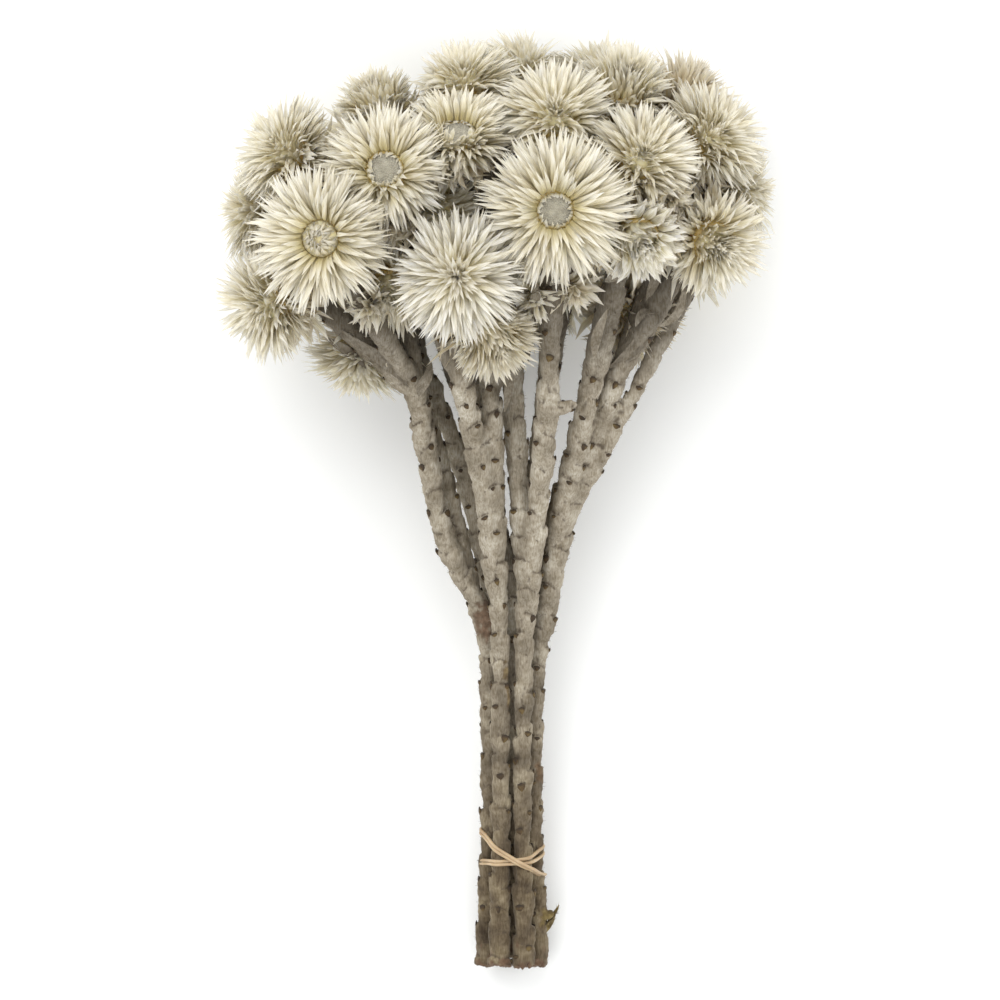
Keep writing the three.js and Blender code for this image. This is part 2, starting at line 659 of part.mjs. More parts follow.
function stubParts(limb) {
  const parts = [];
  for (const stub of stubs) {
    if (stub.stem !== limb.stem || stub.key !== limb.key) continue;
    const spot = limb.points[Math.round(stub.share * (limb.points.length - 1))].at;
    const end = spot.clone().addScaledVector(vec(...stub.towards).normalize(), limb.radius + stub.length);
    const middle = spot.clone().lerp(end, stubMiddle);
    const radii = [stub.radius, stub.radius, stub.radius * stubEnd];
    parts.push(limbSolid([spot, middle, end], radii, branchSides, () => 0, null));
  }
  return parts;
}

function stemSolid(stemName, random) {
  const parts = [];
  for (const limb of limbs) {
    if (limb.stem !== stemName) continue;
    parts.push(...limbParts(limb, random), ...leafParts(limb, random), ...stubParts(limb));
  }
  return parts.reduce((whole, part) => whole.add(part));
}

// Blooms: their solids.

const bract = {
  outSpread: 0.12,                   // how much the tips differ in reach, height and turn
  upSpread: 0.09,
  turnSpread: 0.16,
  closedIn: 0.32,                    // how far a closed bloom draws its tips in
  closedUp: 0.3,                     // and lifts them
  halfWidth: 2.4,                    // at the root
  shortening: 0.86,                  // one step, when something is in the way
  shortest: 0.3,                     // as a share of the full length
  leastOut: 1.5,                     // the tip is at least this much further from the cup than the root
  stemRoom: 1.3,
  leafRoom: 1,
  leafHalf: 3.6,                     // half the room that a leaf takes where it is widest
  leafStep: 0.125,                   // checked at this spacing along a leaf
  touching: 0.05,                    // edges that only meet at a corner don't count as crossing
};

// The cup is a net of triangles, and every triangle of its four bract bands is drawn out to a pointed bract.
function bloomSolid(name, random) {
  const bloom = blooms[name];
  const walls = wallsOf(name);
  const place = (out, up, angle) => {
    const point = bloom.centre.clone().addScaledVector(bloom.facing, up);
    point.addScaledVector(bloom.side, out * Math.cos(angle));
    return point.addScaledVector(bloom.across, out * Math.sin(angle));
  };
  const step = (2 * Math.PI) / cupSides;
  const angleOf = (ring, k) => (k + ring / 2) * step;
  const points = [];
  cupRings.forEach((ring, r) => {
    for (let k = 0; k < cupSides; k += 1) points.push(place(ring.out, ring.up, angleOf(r, k)));
  });
  const seat = points.push(place(0, cupRings[0].up, 0)) - 1;
  const middle = points.push(place(0, discUp, 0)) - 1;
  const triangles = [];
  const nets = [];
  for (let r = 0; r < cupRings.length - 1; r += 1) {
    for (let k = 0; k < cupSides; k += 1) {
      const next = (k + 1) % cupSides;
      const low = r * cupSides;
      const high = low + cupSides;
      nets.push({ ring: r, kind: 0, corners: [low + k, low + next, high + k], angle: angleOf(r, k + 0.5) });
      nets.push({ ring: r, kind: 1, corners: [low + next, high + next, high + k], angle: angleOf(r, k + 1) });
    }
  }
  for (let k = 0; k < cupSides; k += 1) {
    const next = (k + 1) % cupSides;
    const inner = (cupRings.length - 1) * cupSides;
    triangles.push(seat, next, k);
    triangles.push(middle, inner + k, inner + next);
  }
  const inTheWay = limbs.flatMap((limb) => (limb.bloom === name ? limb.points.slice(0, -2) : limb.points));
  const cup = place(0, cupMiddle, 0);
  const cupFaces = nets.map((net) => net.corners.map((i) => points[i]));
  for (let i = 0; i < triangles.length; i += 3) cupFaces.push([0, 1, 2].map((k) => points[triangles[i + k]]));
  const tips = [];
  for (const net of nets) {
    const band = bractBands.find((entry) => entry.ring === net.ring);
    const corners = net.corners.map((i) => points[i]);
    if (!band) {
      triangles.push(...net.corners);
      continue;
    }
    const drawnIn = 1 - bract.closedIn * bloom.closed;
    const out = bloom.radius * band.outward[net.kind] * drawnIn * (1 + bract.outSpread * (random() - 0.5));
    const lift = bract.closedUp * bloom.closed + bract.upSpread * (random() - 0.5);
    const up = bloom.radius * (band.up[net.kind] + lift);
    const angle = net.angle + bract.turnSpread * (random() - 0.5);
    const root = corners[0].clone().add(corners[1]).add(corners[2]).divideScalar(3);
    const goal = press(place(out, up, angle), walls);
    const tip = clearTip(root, goal, corners, cup, cupFaces, inTheWay, tips);
    if (!tip) {
      triangles.push(...net.corners);
      continue;
    }
    const index = points.push(tip) - 1;
    tips.push({ tip, corners });
    for (let k = 0; k < 3; k += 1) triangles.push(net.corners[k], net.corners[(k + 1) % 3], index);
  }
  return solidFrom(points, triangles);
}

// Shortens a bract until it clears the stems, the leaves and the bracts before it, or gives none.
function clearTip(root, goal, corners, cup, cupFaces, inTheWay, others) {
  for (let share = 1; share > bract.shortest; share *= bract.shortening) {
    const tip = root.clone().lerp(goal, share);
    if (tip.distanceTo(cup) < root.distanceTo(cup) + bract.leastOut) return null;
    const clear = missesStems(root, tip, inTheWay) && missesLeaves(root, tip) && !pierces(corners, tip, cupFaces);
    if (clear && missesBracts(corners, tip, others)) return tip;
  }
  return null;
}

function missesStems(root, tip, inTheWay) {
  const midline = new THREE.Line3(root, tip);
  const near = vec(0, 0, 0);
  for (const spot of inTheWay) {
    const share = midline.closestPointToPointParameter(spot.at, true);
    midline.at(share, near);
    const half = bract.halfWidth * (1 - share);
    if (near.distanceTo(spot.at) < spot.radius * (1 + knobShare) + half + bract.stemRoom) return false;
  }
  return true;
}

function missesLeaves(root, tip) {
  const midline = new THREE.Line3(root, tip);
  const near = vec(0, 0, 0);
  for (const other of leaves) {
    for (let part = 0; part <= 1; part += bract.leafStep) {
      const spot = other.root.clone().lerp(other.tip, part);
      const share = midline.closestPointToPointParameter(spot, true);
      midline.at(share, near);
      const own = bract.halfWidth * (1 - share);
      const theirs = bract.leafHalf * (1 - Math.abs(part - leaf.widest));
      if (near.distanceTo(spot) < own + theirs + bract.leafRoom) return false;
    }
  }
  return true;
}

// Whether any edge from the tip down to the corners goes through one of the faces.
function pierces(corners, tip, faces) {
  const ray = new THREE.Ray();
  const hit = vec(0, 0, 0);
  for (const corner of corners) {
    const length = corner.distanceTo(tip);
    ray.origin.copy(tip);
    ray.direction.subVectors(corner, tip).divideScalar(length);
    for (const face of faces) {
      const found = ray.intersectTriangle(...face, false, hit);
      if (found && hit.distanceTo(tip) < length - bract.touching) return true;
    }
  }
  return false;
}

const sidesOf = (corners, tip) => [0, 1, 2].map((k) => [corners[k], corners[(k + 1) % 3], tip]);

function missesBracts(corners, tip, others) {
  for (const other of others) {
    if (pierces(corners, tip, sidesOf(other.corners, other.tip))) return false;
    if (pierces(other.corners, other.tip, sidesOf(corners, tip))) return false;
  }
  return true;
}

// Rubber band.

const band = {
  along: 40,                         // distance from the cut ends
  thick: 1.1,
  wide: 2.2,
  off: 0.45,                         // gap to the stems
  apart: 7.5,                        // half the distance between its two turns behind the bundle
  slant: -3,                         // how much lower it runs on the right
  crossing: 80,                      // where the turns cross in front, in degrees round the bundle
  bumpWidth: 34,                     // one turn rises over the other within this many degrees
  bumpHeight: 1.35,                  // by this many times its thickness
  cornerCut: 0.999,                  // it hardly rounds the corners, to clear the knobs
  steps: 60,
};

// Distance from the bundle's middle to the outside of the seven stems, in a direction across it.
function bundleOutside(angle, pitch) {
  const grown = trunkRadius * (1 + knobShare) + band.off + band.thick / 2;
  const sixth = Math.PI / 3;
  const off = Math.abs(((angle % sixth) + sixth) % sixth - sixth / 2);
  const fromStem = sixth / 2 - off;
  const flat = (pitch * Math.cos(sixth / 2) + grown) / Math.cos(off);
  const round = pitch * Math.cos(fromStem) + Math.sqrt(Math.max(grown ** 2 - (pitch * Math.sin(fromStem)) ** 2, 0));
  return Math.min(flat, Math.max(round, flat * band.cornerCut));
}

// One closed band wound twice, which crosses over itself once, in front.
function bandSolid() {
  const points = [];
  const triangles = [];
  const pitch = bundleSpacing[1].pitch;
  const crossing = THREE.MathUtils.degToRad(band.crossing);
  const bump = THREE.MathUtils.degToRad(band.bumpWidth);
  for (let i = 0; i < band.steps; i += 1) {
    const angle = (i / band.steps) * 4 * Math.PI;
    const turnApart = band.apart * Math.sin((angle - crossing) / 2);
    const along = band.along + turnApart + band.slant * Math.cos(angle);
    const rise = band.thick * band.bumpHeight * Math.exp(-(((angle - crossing) / bump) ** 4));
    const outside = bundleOutside(angle, pitch) + rise;
    const place = bundlePoint(along, null);
    const outward = vec(Math.cos(angle), 0, 0).addScaledVector(bundleUp, Math.sin(angle));
    place.addScaledVector(outward, outside);
    for (const [r, w] of [[-1, -1], [1, -1], [1, 1], [-1, 1]]) {
      const corner = place.clone().addScaledVector(outward, (r * band.thick) / 2);
      points.push(corner.addScaledVector(bundleAxis, (w * band.wide) / 2));
    }
    const low = i * 4;
    const high = ((i + 1) % band.steps) * 4;
    for (let k = 0; k < 4; k += 1) {
      const next = (k + 1) % 4;
      triangles.push(low + k, low + next, high + k);
      triangles.push(low + next, high + next, high + k);
    }
  }
  const solid = solidFrom(points, triangles);
  return solid.volume() > 0 ? solid : solidFrom(points, triangles.reverse());
}

// The bunch.

function meshOf(name, solid, look) {
  const { vertProperties, triVerts, numProp } = solid.getMesh();
  const positions = [];
  for (const i of triVerts) {
    positions.push(vertProperties[i * numProp], vertProperties[i * numProp + 1], vertProperties[i * numProp + 2]);
  }
  const geometry = new THREE.BufferGeometry();
  geometry.setAttribute('position', new THREE.Float32BufferAttribute(positions, 3));
  geometry.computeVertexNormals();
  const mesh = new THREE.Mesh(geometry, new THREE.MeshStandardMaterial(look));
  mesh.name = name;
  return mesh;
}

const stemWool = { color: 0xaaa39a, roughness: 0.95, metalness: 0 };
const bractPaper = { color: 0xe8e2cf, roughness: 0.55, metalness: 0 };
const bandRubber = { color: 0xd9b98f, roughness: 0.6, metalness: 0 };

const bunch = new THREE.Group();

Object.keys(stems).forEach((name, i) => {
  bunch.add(meshOf(name, stemSolid(name, randomFrom(100 + i)), stemWool));
});

bloomNames.forEach((name, i) => {
  bunch.add(meshOf(name, bloomSolid(name, randomFrom(200 + i)), bractPaper));
});

bunch.add(meshOf('rubber_band', bandSolid(), bandRubber));

export default bunch;
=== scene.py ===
# A tied bunch of dried strawflowers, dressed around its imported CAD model.
# Sizes are in millimetres until the last step of each piece, which turns them to metres.
import heapq
import math

import bmesh
import bpy
import numpy as np
from mathutils import Matrix, Vector, kdtree


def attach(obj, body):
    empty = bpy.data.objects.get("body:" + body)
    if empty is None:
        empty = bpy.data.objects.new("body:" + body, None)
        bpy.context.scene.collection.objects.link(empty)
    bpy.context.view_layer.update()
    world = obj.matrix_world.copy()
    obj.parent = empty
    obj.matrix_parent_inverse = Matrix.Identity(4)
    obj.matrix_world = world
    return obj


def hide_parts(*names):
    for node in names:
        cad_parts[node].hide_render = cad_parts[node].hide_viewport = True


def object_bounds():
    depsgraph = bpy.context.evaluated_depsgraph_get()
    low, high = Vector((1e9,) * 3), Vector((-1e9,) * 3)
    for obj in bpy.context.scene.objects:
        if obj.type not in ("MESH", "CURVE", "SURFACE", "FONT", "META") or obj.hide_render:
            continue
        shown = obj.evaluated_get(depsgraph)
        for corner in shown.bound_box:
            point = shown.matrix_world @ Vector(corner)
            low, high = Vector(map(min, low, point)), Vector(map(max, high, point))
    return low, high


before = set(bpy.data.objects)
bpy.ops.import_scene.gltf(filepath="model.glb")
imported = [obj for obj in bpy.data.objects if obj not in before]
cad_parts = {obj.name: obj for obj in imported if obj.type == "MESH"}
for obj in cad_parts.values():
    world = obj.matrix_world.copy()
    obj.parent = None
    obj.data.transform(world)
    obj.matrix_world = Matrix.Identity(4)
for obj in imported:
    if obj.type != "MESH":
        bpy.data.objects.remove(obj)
cadBox = [list(corner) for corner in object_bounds()]
metre = 0.001
goldenAngle = math.pi * (3 - math.sqrt(5))
# each random draw starts from one of these and the number of its piece
seeds = {"bloom": 400, "stem": 70, "cut": 30, "stain": 60, "patch": 90, "band": 12}


# small helpers

def linearColour(hexText):
    channels = [int(hexText[i:i + 2], 16) / 255 for i in (1, 3, 5)]
    return tuple(c / 12.92 if c <= 0.04045 else ((c + 0.055) / 1.055) ** 2.4 for c in channels) + (1,)


def addNode(tree, kind, settings=None, links=None):
    # settings: the node's own properties, the values of its unlinked inputs, and the stops of a colour ramp
    node = tree.nodes.new(kind)
    for key, value in (settings or {}).items():
        if key == "stops":
            elements = node.color_ramp.elements
            while len(elements) < len(value):
                elements.new(0.5)
            for element, (place, colour) in zip(elements, value):
                element.position = place
                element.color = linearColour(colour)
        elif isinstance(key, str) and key in node.bl_rna.properties:
            setattr(node, key, value)
        else:
            node.inputs[key].default_value = value
    for key, source in (links or {}).items():
        tree.links.new(source, node.inputs[key])
    return node


def geometryTree(name, sockets):
    tree = bpy.data.node_groups.new(name, "GeometryNodeTree")
    tree.interface.new_socket("Geometry", in_out="INPUT", socket_type="NodeSocketGeometry")
    for label, (kind, default) in sockets.items():
        socket = tree.interface.new_socket(label, in_out="INPUT", socket_type="NodeSocket" + kind)
        if default is not None:
            socket.default_value = default
    tree.interface.new_socket("Geometry", in_out="OUTPUT", socket_type="NodeSocketGeometry")
    given = tree.nodes.new("NodeGroupInput")
    result = tree.nodes.new("NodeGroupOutput")
    return tree, given, result


def endTree(tree, geometry, given, result):
    # every tree ends in real geometry with its material on
    real = addNode(tree, "GeometryNodeRealizeInstances", links={"Geometry": geometry})
    dressed = addNode(tree, "GeometryNodeSetMaterial",
                      links={"Geometry": real.outputs["Geometry"], "Material": given.outputs["Material"]})
    tree.links.new(dressed.outputs["Geometry"], result.inputs["Geometry"])
    return tree


def reshaped(mesh, name, kind, settings, inputs=None):
    # runs one modifier on a mesh and gives back the plain mesh that it makes
    carrier = bpy.data.objects.new(name, mesh)
    bpy.context.scene.collection.objects.link(carrier)
    modifier = carrier.modifiers.new("shape", kind)
    for key, value in settings.items():
        setattr(modifier, key, value)
    for key, value in (inputs or {}).items():
        modifier[key] = value
    bpy.context.view_layer.update()
    graph = bpy.context.evaluated_depsgraph_get()
    made = bpy.data.meshes.new_from_object(carrier.evaluated_get(graph), depsgraph=graph)
    made.name = name
    bpy.data.objects.remove(carrier)
    return made


def grown(mesh, name, tree, values):
    # runs a Geometry Nodes tree, whose inputs are set by their identifiers
    sockets = [item for item in tree.interface.items_tree
               if item.item_type == "SOCKET" and item.in_out == "INPUT"]
    inputs = {item.identifier: values[item.name] for item in sockets if item.name in values}
    return reshaped(mesh, name, "NODES", {"node_group": tree}, inputs)


def joined(name, meshes):
    objects = [bpy.data.objects.new(name, mesh) for mesh in meshes]
    for piece in objects:
        bpy.context.scene.collection.objects.link(piece)
    with bpy.context.temp_override(active_object=objects[0], object=objects[0],
                                   selected_objects=objects, selected_editable_objects=objects):
        bpy.ops.object.join()
    objects[0].name = name
    objects[0].data.name = name
    return objects[0]


def pointsOf(mesh):
    flat = np.zeros(len(mesh.vertices) * 3)
    mesh.vertices.foreach_get("co", flat)
    return flat.reshape(-1, 3)


def storePoints(mesh, points):
    mesh.vertices.foreach_set("co", np.asarray(points, float).ravel())
    mesh.update()


def storeNumbers(mesh, label, values):
    values = np.asarray(values, np.float32)
    vector = values.ndim == 2
    kind = "FLOAT_VECTOR" if vector else "FLOAT"
    layer = mesh.attributes.get(label) or mesh.attributes.new(label, kind, "POINT")
    layer.data.foreach_set("vector" if vector else "value", values.ravel())


def numbersOf(mesh, label):
    values = np.zeros(len(mesh.vertices), np.float32)
    mesh.attributes[label].data.foreach_get("value", values)
    return values.astype(float)


def unit(vectors):
    return vectors / np.maximum(np.linalg.norm(vectors, axis=-1, keepdims=True), 1e-9)


def smoothNoise(points, size, seed):
    # a soft random field: a sum of plane waves of about the given size
    rng = np.random.default_rng(seed)
    waveCount = 14
    total = np.zeros(len(points))
    for wave in range(waveCount):
        towards = unit(rng.normal(0, 1, 3)) * 2 * np.pi / (size * rng.uniform(0.7, 1.5))
        total += np.sin(points @ towards + rng.uniform(0, 2 * np.pi))
    return total / math.sqrt(waveCount / 2)


def sloped(line, share):
    # a straight change: a first value, and how much comes on top of it by the end
    return line[0] + line[1] * share


# camera, light and floor

# the camera looks straight down: the middle of what it sees, how much of it, and from how far away
view = {"middle": (1.26, -0.36), "across": 360, "height": 60, "distance": 6000, "sensor": 36,
        "farClip": 20000}

cameraData = bpy.data.cameras.new("camera")
cameraData.sensor_width = view["sensor"]
cameraData.lens = view["sensor"] * view["distance"] / view["across"]
cameraData.clip_end = view["farClip"] * metre
camera = bpy.data.objects.new("camera", cameraData)
camera.location = Vector((*view["middle"], view["height"] + view["distance"])) * metre
bpy.context.scene.collection.objects.link(camera)
bpy.context.scene.camera = camera

# where each light hangs, its width and its power in watts: all aim at the head
headMiddle = (0, 60, 50)
lights = {
    "overhead": {"at": (-350, 900, 1150), "size": 1200, "power": 11},
    "front": {"at": (-500, -700, 1500), "size": 1200, "power": 6},
    "rightFill": {"at": (1100, -100, 900), "size": 900, "power": 4},
}
for name, plan in lights.items():
    lamp = bpy.data.lights.new(name, "AREA")
    lamp.size = plan["size"] * metre
    lamp.energy = plan["power"]
    holder = bpy.data.objects.new(name, lamp)
    holder.location = Vector(plan["at"]) * metre
    aim = Vector(headMiddle) * metre - holder.location
    holder.rotation_euler = aim.to_track_quat("-Z", "Y").to_euler()
    bpy.context.scene.collection.objects.link(holder)

studioLight = {"Color": linearColour("#F4F6F8"), "Strength": 1.0}
world = bpy.data.worlds.new("studio")
world.use_nodes = True
for socket, value in studioLight.items():
    world.node_tree.nodes["Background"].inputs[socket].default_value = value
bpy.context.scene.world = world
bpy.context.scene.view_settings.view_transform = "Standard"


def newMaterial(name, finish):
    # finish: what is the same all over the surface, each on the shader's own socket
    material = bpy.data.materials.new(name)
    material.use_nodes = True
    shader = material.node_tree.nodes["Principled BSDF"]
    for socket, value in finish.items():
        shader.inputs[socket].default_value = value
    return material, material.node_tree, shader


floorPlan = {"half": 2600, "colour": "#FAFAF8", "drop": 0.4}
half = floorPlan["half"] * metre
floorMesh = bpy.data.meshes.new("floor")
floorMesh.from_pydata([(-half, -half, 0), (half, -half, 0), (half, half, 0), (-half, half, 0)], [],
                      [(0, 1, 2, 3)])
floorMesh.materials.append(newMaterial("paleBackdropPaper", {
    "Base Color": linearColour(floorPlan["colour"]), "Roughness": 0.9})[0])
floor = bpy.data.objects.new("floor", floorMesh)
floor.location.z = -floorPlan["drop"] * metre
bpy.context.scene.collection.objects.link(floor)
print("camera, light and floor")


# materials

mixColours = {"data_type": "RGBA"}
multiplyColours = {"data_type": "RGBA", "blend_type": "MULTIPLY", 0: 1.0}


def driedBractPaper():
    # dried papery bract: thin, satin and a little see-through, with fine ribs that run its length
    sizes = {"ribSpacing": 0.3, "ribDepth": 0.06, "mottle": 9.0, "glowDepth": 2.5}
    material, tree, shader = newMaterial("driedBractPaper", {
        "Roughness": 0.3, "IOR": 1.5, "Specular IOR Level": 0.62, "Subsurface Weight": 0.5,
        "Subsurface Radius": (1.0, 0.85, 0.5), "Subsurface Scale": sizes["glowDepth"] * metre,
        "Sheen Weight": 0.15})
    along, across, tint, gold, age = [
        addNode(tree, "ShaderNodeAttribute", {"attribute_name": label}).outputs["Fac"]
        for label in ("along", "across", "tint", "gold", "age")]
    # the yellow towards each bract's root, and the gold laid on below, are partly its own colour and partly
    # painted glow of light shining through and between the bracts
    fresh, cool, old = [
        addNode(tree, "ShaderNodeValToRGB", {"stops": stops}, {"Fac": along}).outputs["Color"] for stops in (
            ((0, "#DCC27E"), (0.18, "#E9D9A2"), (0.45, "#F4EAC8"), (0.85, "#FBF6E4"), (1, "#F1E7C8")),
            ((0, "#D3C494"), (0.22, "#E4DDC2"), (0.5, "#F3F0E4"), (1, "#FBF9F3")),
            ((0, "#A68A5C"), (0.4, "#CBB288"), (1, "#E2D0A8")))]
    colour = addNode(tree, "ShaderNodeMix", mixColours, {0: tint, 6: fresh, 7: cool}).outputs[2]
    golden = {**mixColours, 7: linearColour("#EADD9F")}
    colour = addNode(tree, "ShaderNodeMix", golden, {0: gold, 6: colour}).outputs[2]
    colour = addNode(tree, "ShaderNodeMix", mixColours, {0: age, 6: colour, 7: old}).outputs[2]
    place = addNode(tree, "ShaderNodeTexCoord").outputs["Object"]
    mottle = addNode(tree, "ShaderNodeTexNoise", {"Scale": 1 / (sizes["mottle"] * metre), "Detail": 2},
                     {"Vector": place})
    soft = addNode(tree, "ShaderNodeValToRGB", {"stops": ((0.3, "#F4F0E6"), (0.7, "#FFFFFF"))},
                   {"Fac": mottle.outputs["Fac"]})
    colour = addNode(tree, "ShaderNodeMix", multiplyColours, {6: colour, 7: soft.outputs["Color"]}).outputs[2]
    # ribs: noise drawn out along the bract, by its own across and along coordinates, other ribs for each tint
    ribPlace = addNode(tree, "ShaderNodeCombineXYZ", links={"X": across, "Y": along, "Z": tint})
    ribsPer = (2.0 / sizes["ribSpacing"], 1.2, 57)
    ribScale = addNode(tree, "ShaderNodeVectorMath", {"operation": "MULTIPLY", 1: ribsPer},
                       {0: ribPlace.outputs[0]})
    ribs = addNode(tree, "ShaderNodeTexNoise", {"Scale": 1.6, "Detail": 2}, {"Vector": ribScale.outputs[0]})
    ribTone = addNode(tree, "ShaderNodeValToRGB", {"stops": ((0.36, "#DDD8C8"), (0.58, "#FFFFFF"))},
                      {"Fac": ribs.outputs["Fac"]})
    colour = addNode(tree, "ShaderNodeMix", multiplyColours,
                     {6: colour, 7: ribTone.outputs["Color"]}).outputs[2]
    tree.links.new(colour, shader.inputs["Base Color"])
    bump = addNode(tree, "ShaderNodeBump", {"Strength": 0.8, "Distance": sizes["ribDepth"] * metre},
                   {"Height": ribs.outputs["Fac"]})
    tree.links.new(bump.outputs["Normal"], shader.inputs["Normal"])
    return material


def mottled(name, finish, size, detail, stops):
    # a material whose colour is mottled at one size
    material, tree, shader = newMaterial(name, finish)
    place = addNode(tree, "ShaderNodeTexCoord").outputs["Object"]
    grain = addNode(tree, "ShaderNodeTexNoise", {"Scale": 1 / (size * metre), "Detail": detail},
                    {"Vector": place})
    toned = addNode(tree, "ShaderNodeValToRGB", {"stops": stops}, {"Fac": grain.outputs["Fac"]})
    colour = toned.outputs["Color"]
    tree.links.new(colour, shader.inputs["Base Color"])
    return material, tree, shader, colour


def discFelt():
    # the felted disc of withered florets: matt, pale warm grey, faintly mottled
    return mottled("witheredFloretFelt", {"Roughness": 0.95, "Sheen Weight": 0.4}, size=2.2, detail=4,
                   stops=((0.3, "#918C7D"), (0.52, "#A49F90"), (0.75, "#B6B1A1")))[0]


def feltedWool():
    # grey wool felted on a woody stem: matt and mottled, in streaks along the stem, browner towards its foot,
    # with painted shade under the head and in its hollows
    sizes = {"mottle": 9.0, "tuft": 2.4, "streak": 0.5, "streakDrawn": 0.16, "tuftDepth": 0.25,
             "streakDepth": 0.15}
    material, tree, shader = newMaterial("feltedStemWool", {
        "Roughness": 0.95, "Specular IOR Level": 0.2, "Sheen Weight": 0.2,
        "Sheen Tint": linearColour("#E6DAC6"), "Sheen Roughness": 0.5})
    foot, shade, crevice, green, worn = [
        addNode(tree, "ShaderNodeAttribute", {"attribute_name": label}).outputs["Fac"]
        for label in ("foot", "shade", "crevice", "green", "worn")]
    place = addNode(tree, "ShaderNodeTexCoord").outputs["Object"]
    drawn = addNode(tree, "ShaderNodeVectorMath", {"operation": "MULTIPLY", 1: (1, sizes["streakDrawn"], 1)},
                    {0: place})
    mottle = addNode(tree, "ShaderNodeTexNoise", {"Scale": 1 / (sizes["mottle"] * metre), "Detail": 3},
                     {"Vector": place}).outputs["Fac"]
    tufts = addNode(tree, "ShaderNodeTexNoise",
                    {"Scale": 1 / (sizes["tuft"] * metre), "Detail": 3, "Roughness": 0.6},
                    {"Vector": place}).outputs["Fac"]
    streaks = addNode(tree, "ShaderNodeTexNoise", {"Scale": 1 / (sizes["streak"] * metre), "Detail": 2},
                      {"Vector": drawn.outputs[0]}).outputs["Fac"]
    pale, low, tuftTone, streakTone, bark, olive = [
        addNode(tree, "ShaderNodeValToRGB", {"stops": stops}, {"Fac": source}).outputs["Color"]
        for source, stops in (
            (mottle, ((0.28, "#857C6C"), (0.5, "#A69D8D"), (0.72, "#C6BFB0"))),
            (mottle, ((0.28, "#483D31"), (0.5, "#6C5F4C"), (0.72, "#968970"))),
            (tufts, ((0.3, "#DDD9D1"), (0.6, "#FFFFFF"))),
            (streaks, ((0.32, "#D2CDC4"), (0.6, "#FFFFFF"))),
            (tufts, ((0.3, "#48372A"), (0.55, "#664F3E"), (0.75, "#806A57"))),
            (tufts, ((0.3, "#4A3C24"), (0.55, "#70603A"), (0.75, "#948457"))))]
    colour = addNode(tree, "ShaderNodeMix", mixColours, {0: foot, 6: pale, 7: low}).outputs[2]
    # painted shade: the wool under the head is darkened towards this grey, where the head's shadow falls
    shaded = {**mixColours, 7: linearColour("#6F685D")}
    colour = addNode(tree, "ShaderNodeMix", shaded, {0: shade, 6: colour}).outputs[2]
    colour = addNode(tree, "ShaderNodeMix", multiplyColours, {6: colour, 7: tuftTone}).outputs[2]
    colour = addNode(tree, "ShaderNodeMix", multiplyColours, {6: colour, 7: streakTone}).outputs[2]
    # painted shade: the wool is darkened in the hollows, between leaf bases and between stems
    hollowShade = {**mixColours, 7: linearColour("#4C4136")}
    colour = addNode(tree, "ShaderNodeMix", hollowShade, {0: crevice, 6: colour}).outputs[2]
    bare = addNode(tree, "ShaderNodeMix", mixColours, {0: green, 6: bark, 7: olive}).outputs[2]
    colour = addNode(tree, "ShaderNodeMix", mixColours, {0: worn, 6: colour, 7: bare}).outputs[2]
    tree.links.new(colour, shader.inputs["Base Color"])
    bump = addNode(tree, "ShaderNodeBump", {"Strength": 0.5, "Distance": sizes["tuftDepth"] * metre},
                   {"Height": tufts})
    fine = addNode(tree, "ShaderNodeBump", {"Strength": 0.6, "Distance": sizes["streakDepth"] * metre},
                   {"Height": streaks, "Normal": bump.outputs["Normal"]})
    tree.links.new(fine.outputs["Normal"], shader.inputs["Normal"])
    return material


def scarBark():
    # the torn bark of a fallen leaf's scar: dry, dark brown to olive, with a blackish lip
    material, tree, shader, colour = mottled(
        "tornLeafScarBark", {"Roughness": 0.85}, size=2.5, detail=3,
        stops=((0.35, "#352817"), (0.5, "#4C3A21"), (0.7, "#695730")))
    lipShare = addNode(tree, "ShaderNodeAttribute", {"attribute_name": "lip"}).outputs["Fac"]
    blackish = {**mixColours, 7: linearColour("#2C2218")}
    colour = addNode(tree, "ShaderNodeMix", blackish, {0: lipShare, 6: colour}).outputs[2]
    tree.links.new(colour, shader.inputs["Base Color"])
    return material


def latexBand():
    # natural latex rubber, calendered: smooth and slightly waxy
    return mottled("naturalLatexRubber", {
        "Roughness": 0.45, "Subsurface Weight": 0.2, "Subsurface Radius": (1.0, 0.6, 0.3),
        "Subsurface Scale": 1 * metre}, size=6, detail=2, stops=((0.3, "#A48A68"), (0.7, "#C2AA87")))[0]


paper = driedBractPaper()
felt = discFelt()
wool = feltedWool()
scar = scarBark()
latex = latexBand()
print("materials")


# blooms: where each sits, as in the CAD model, and what makes it its own

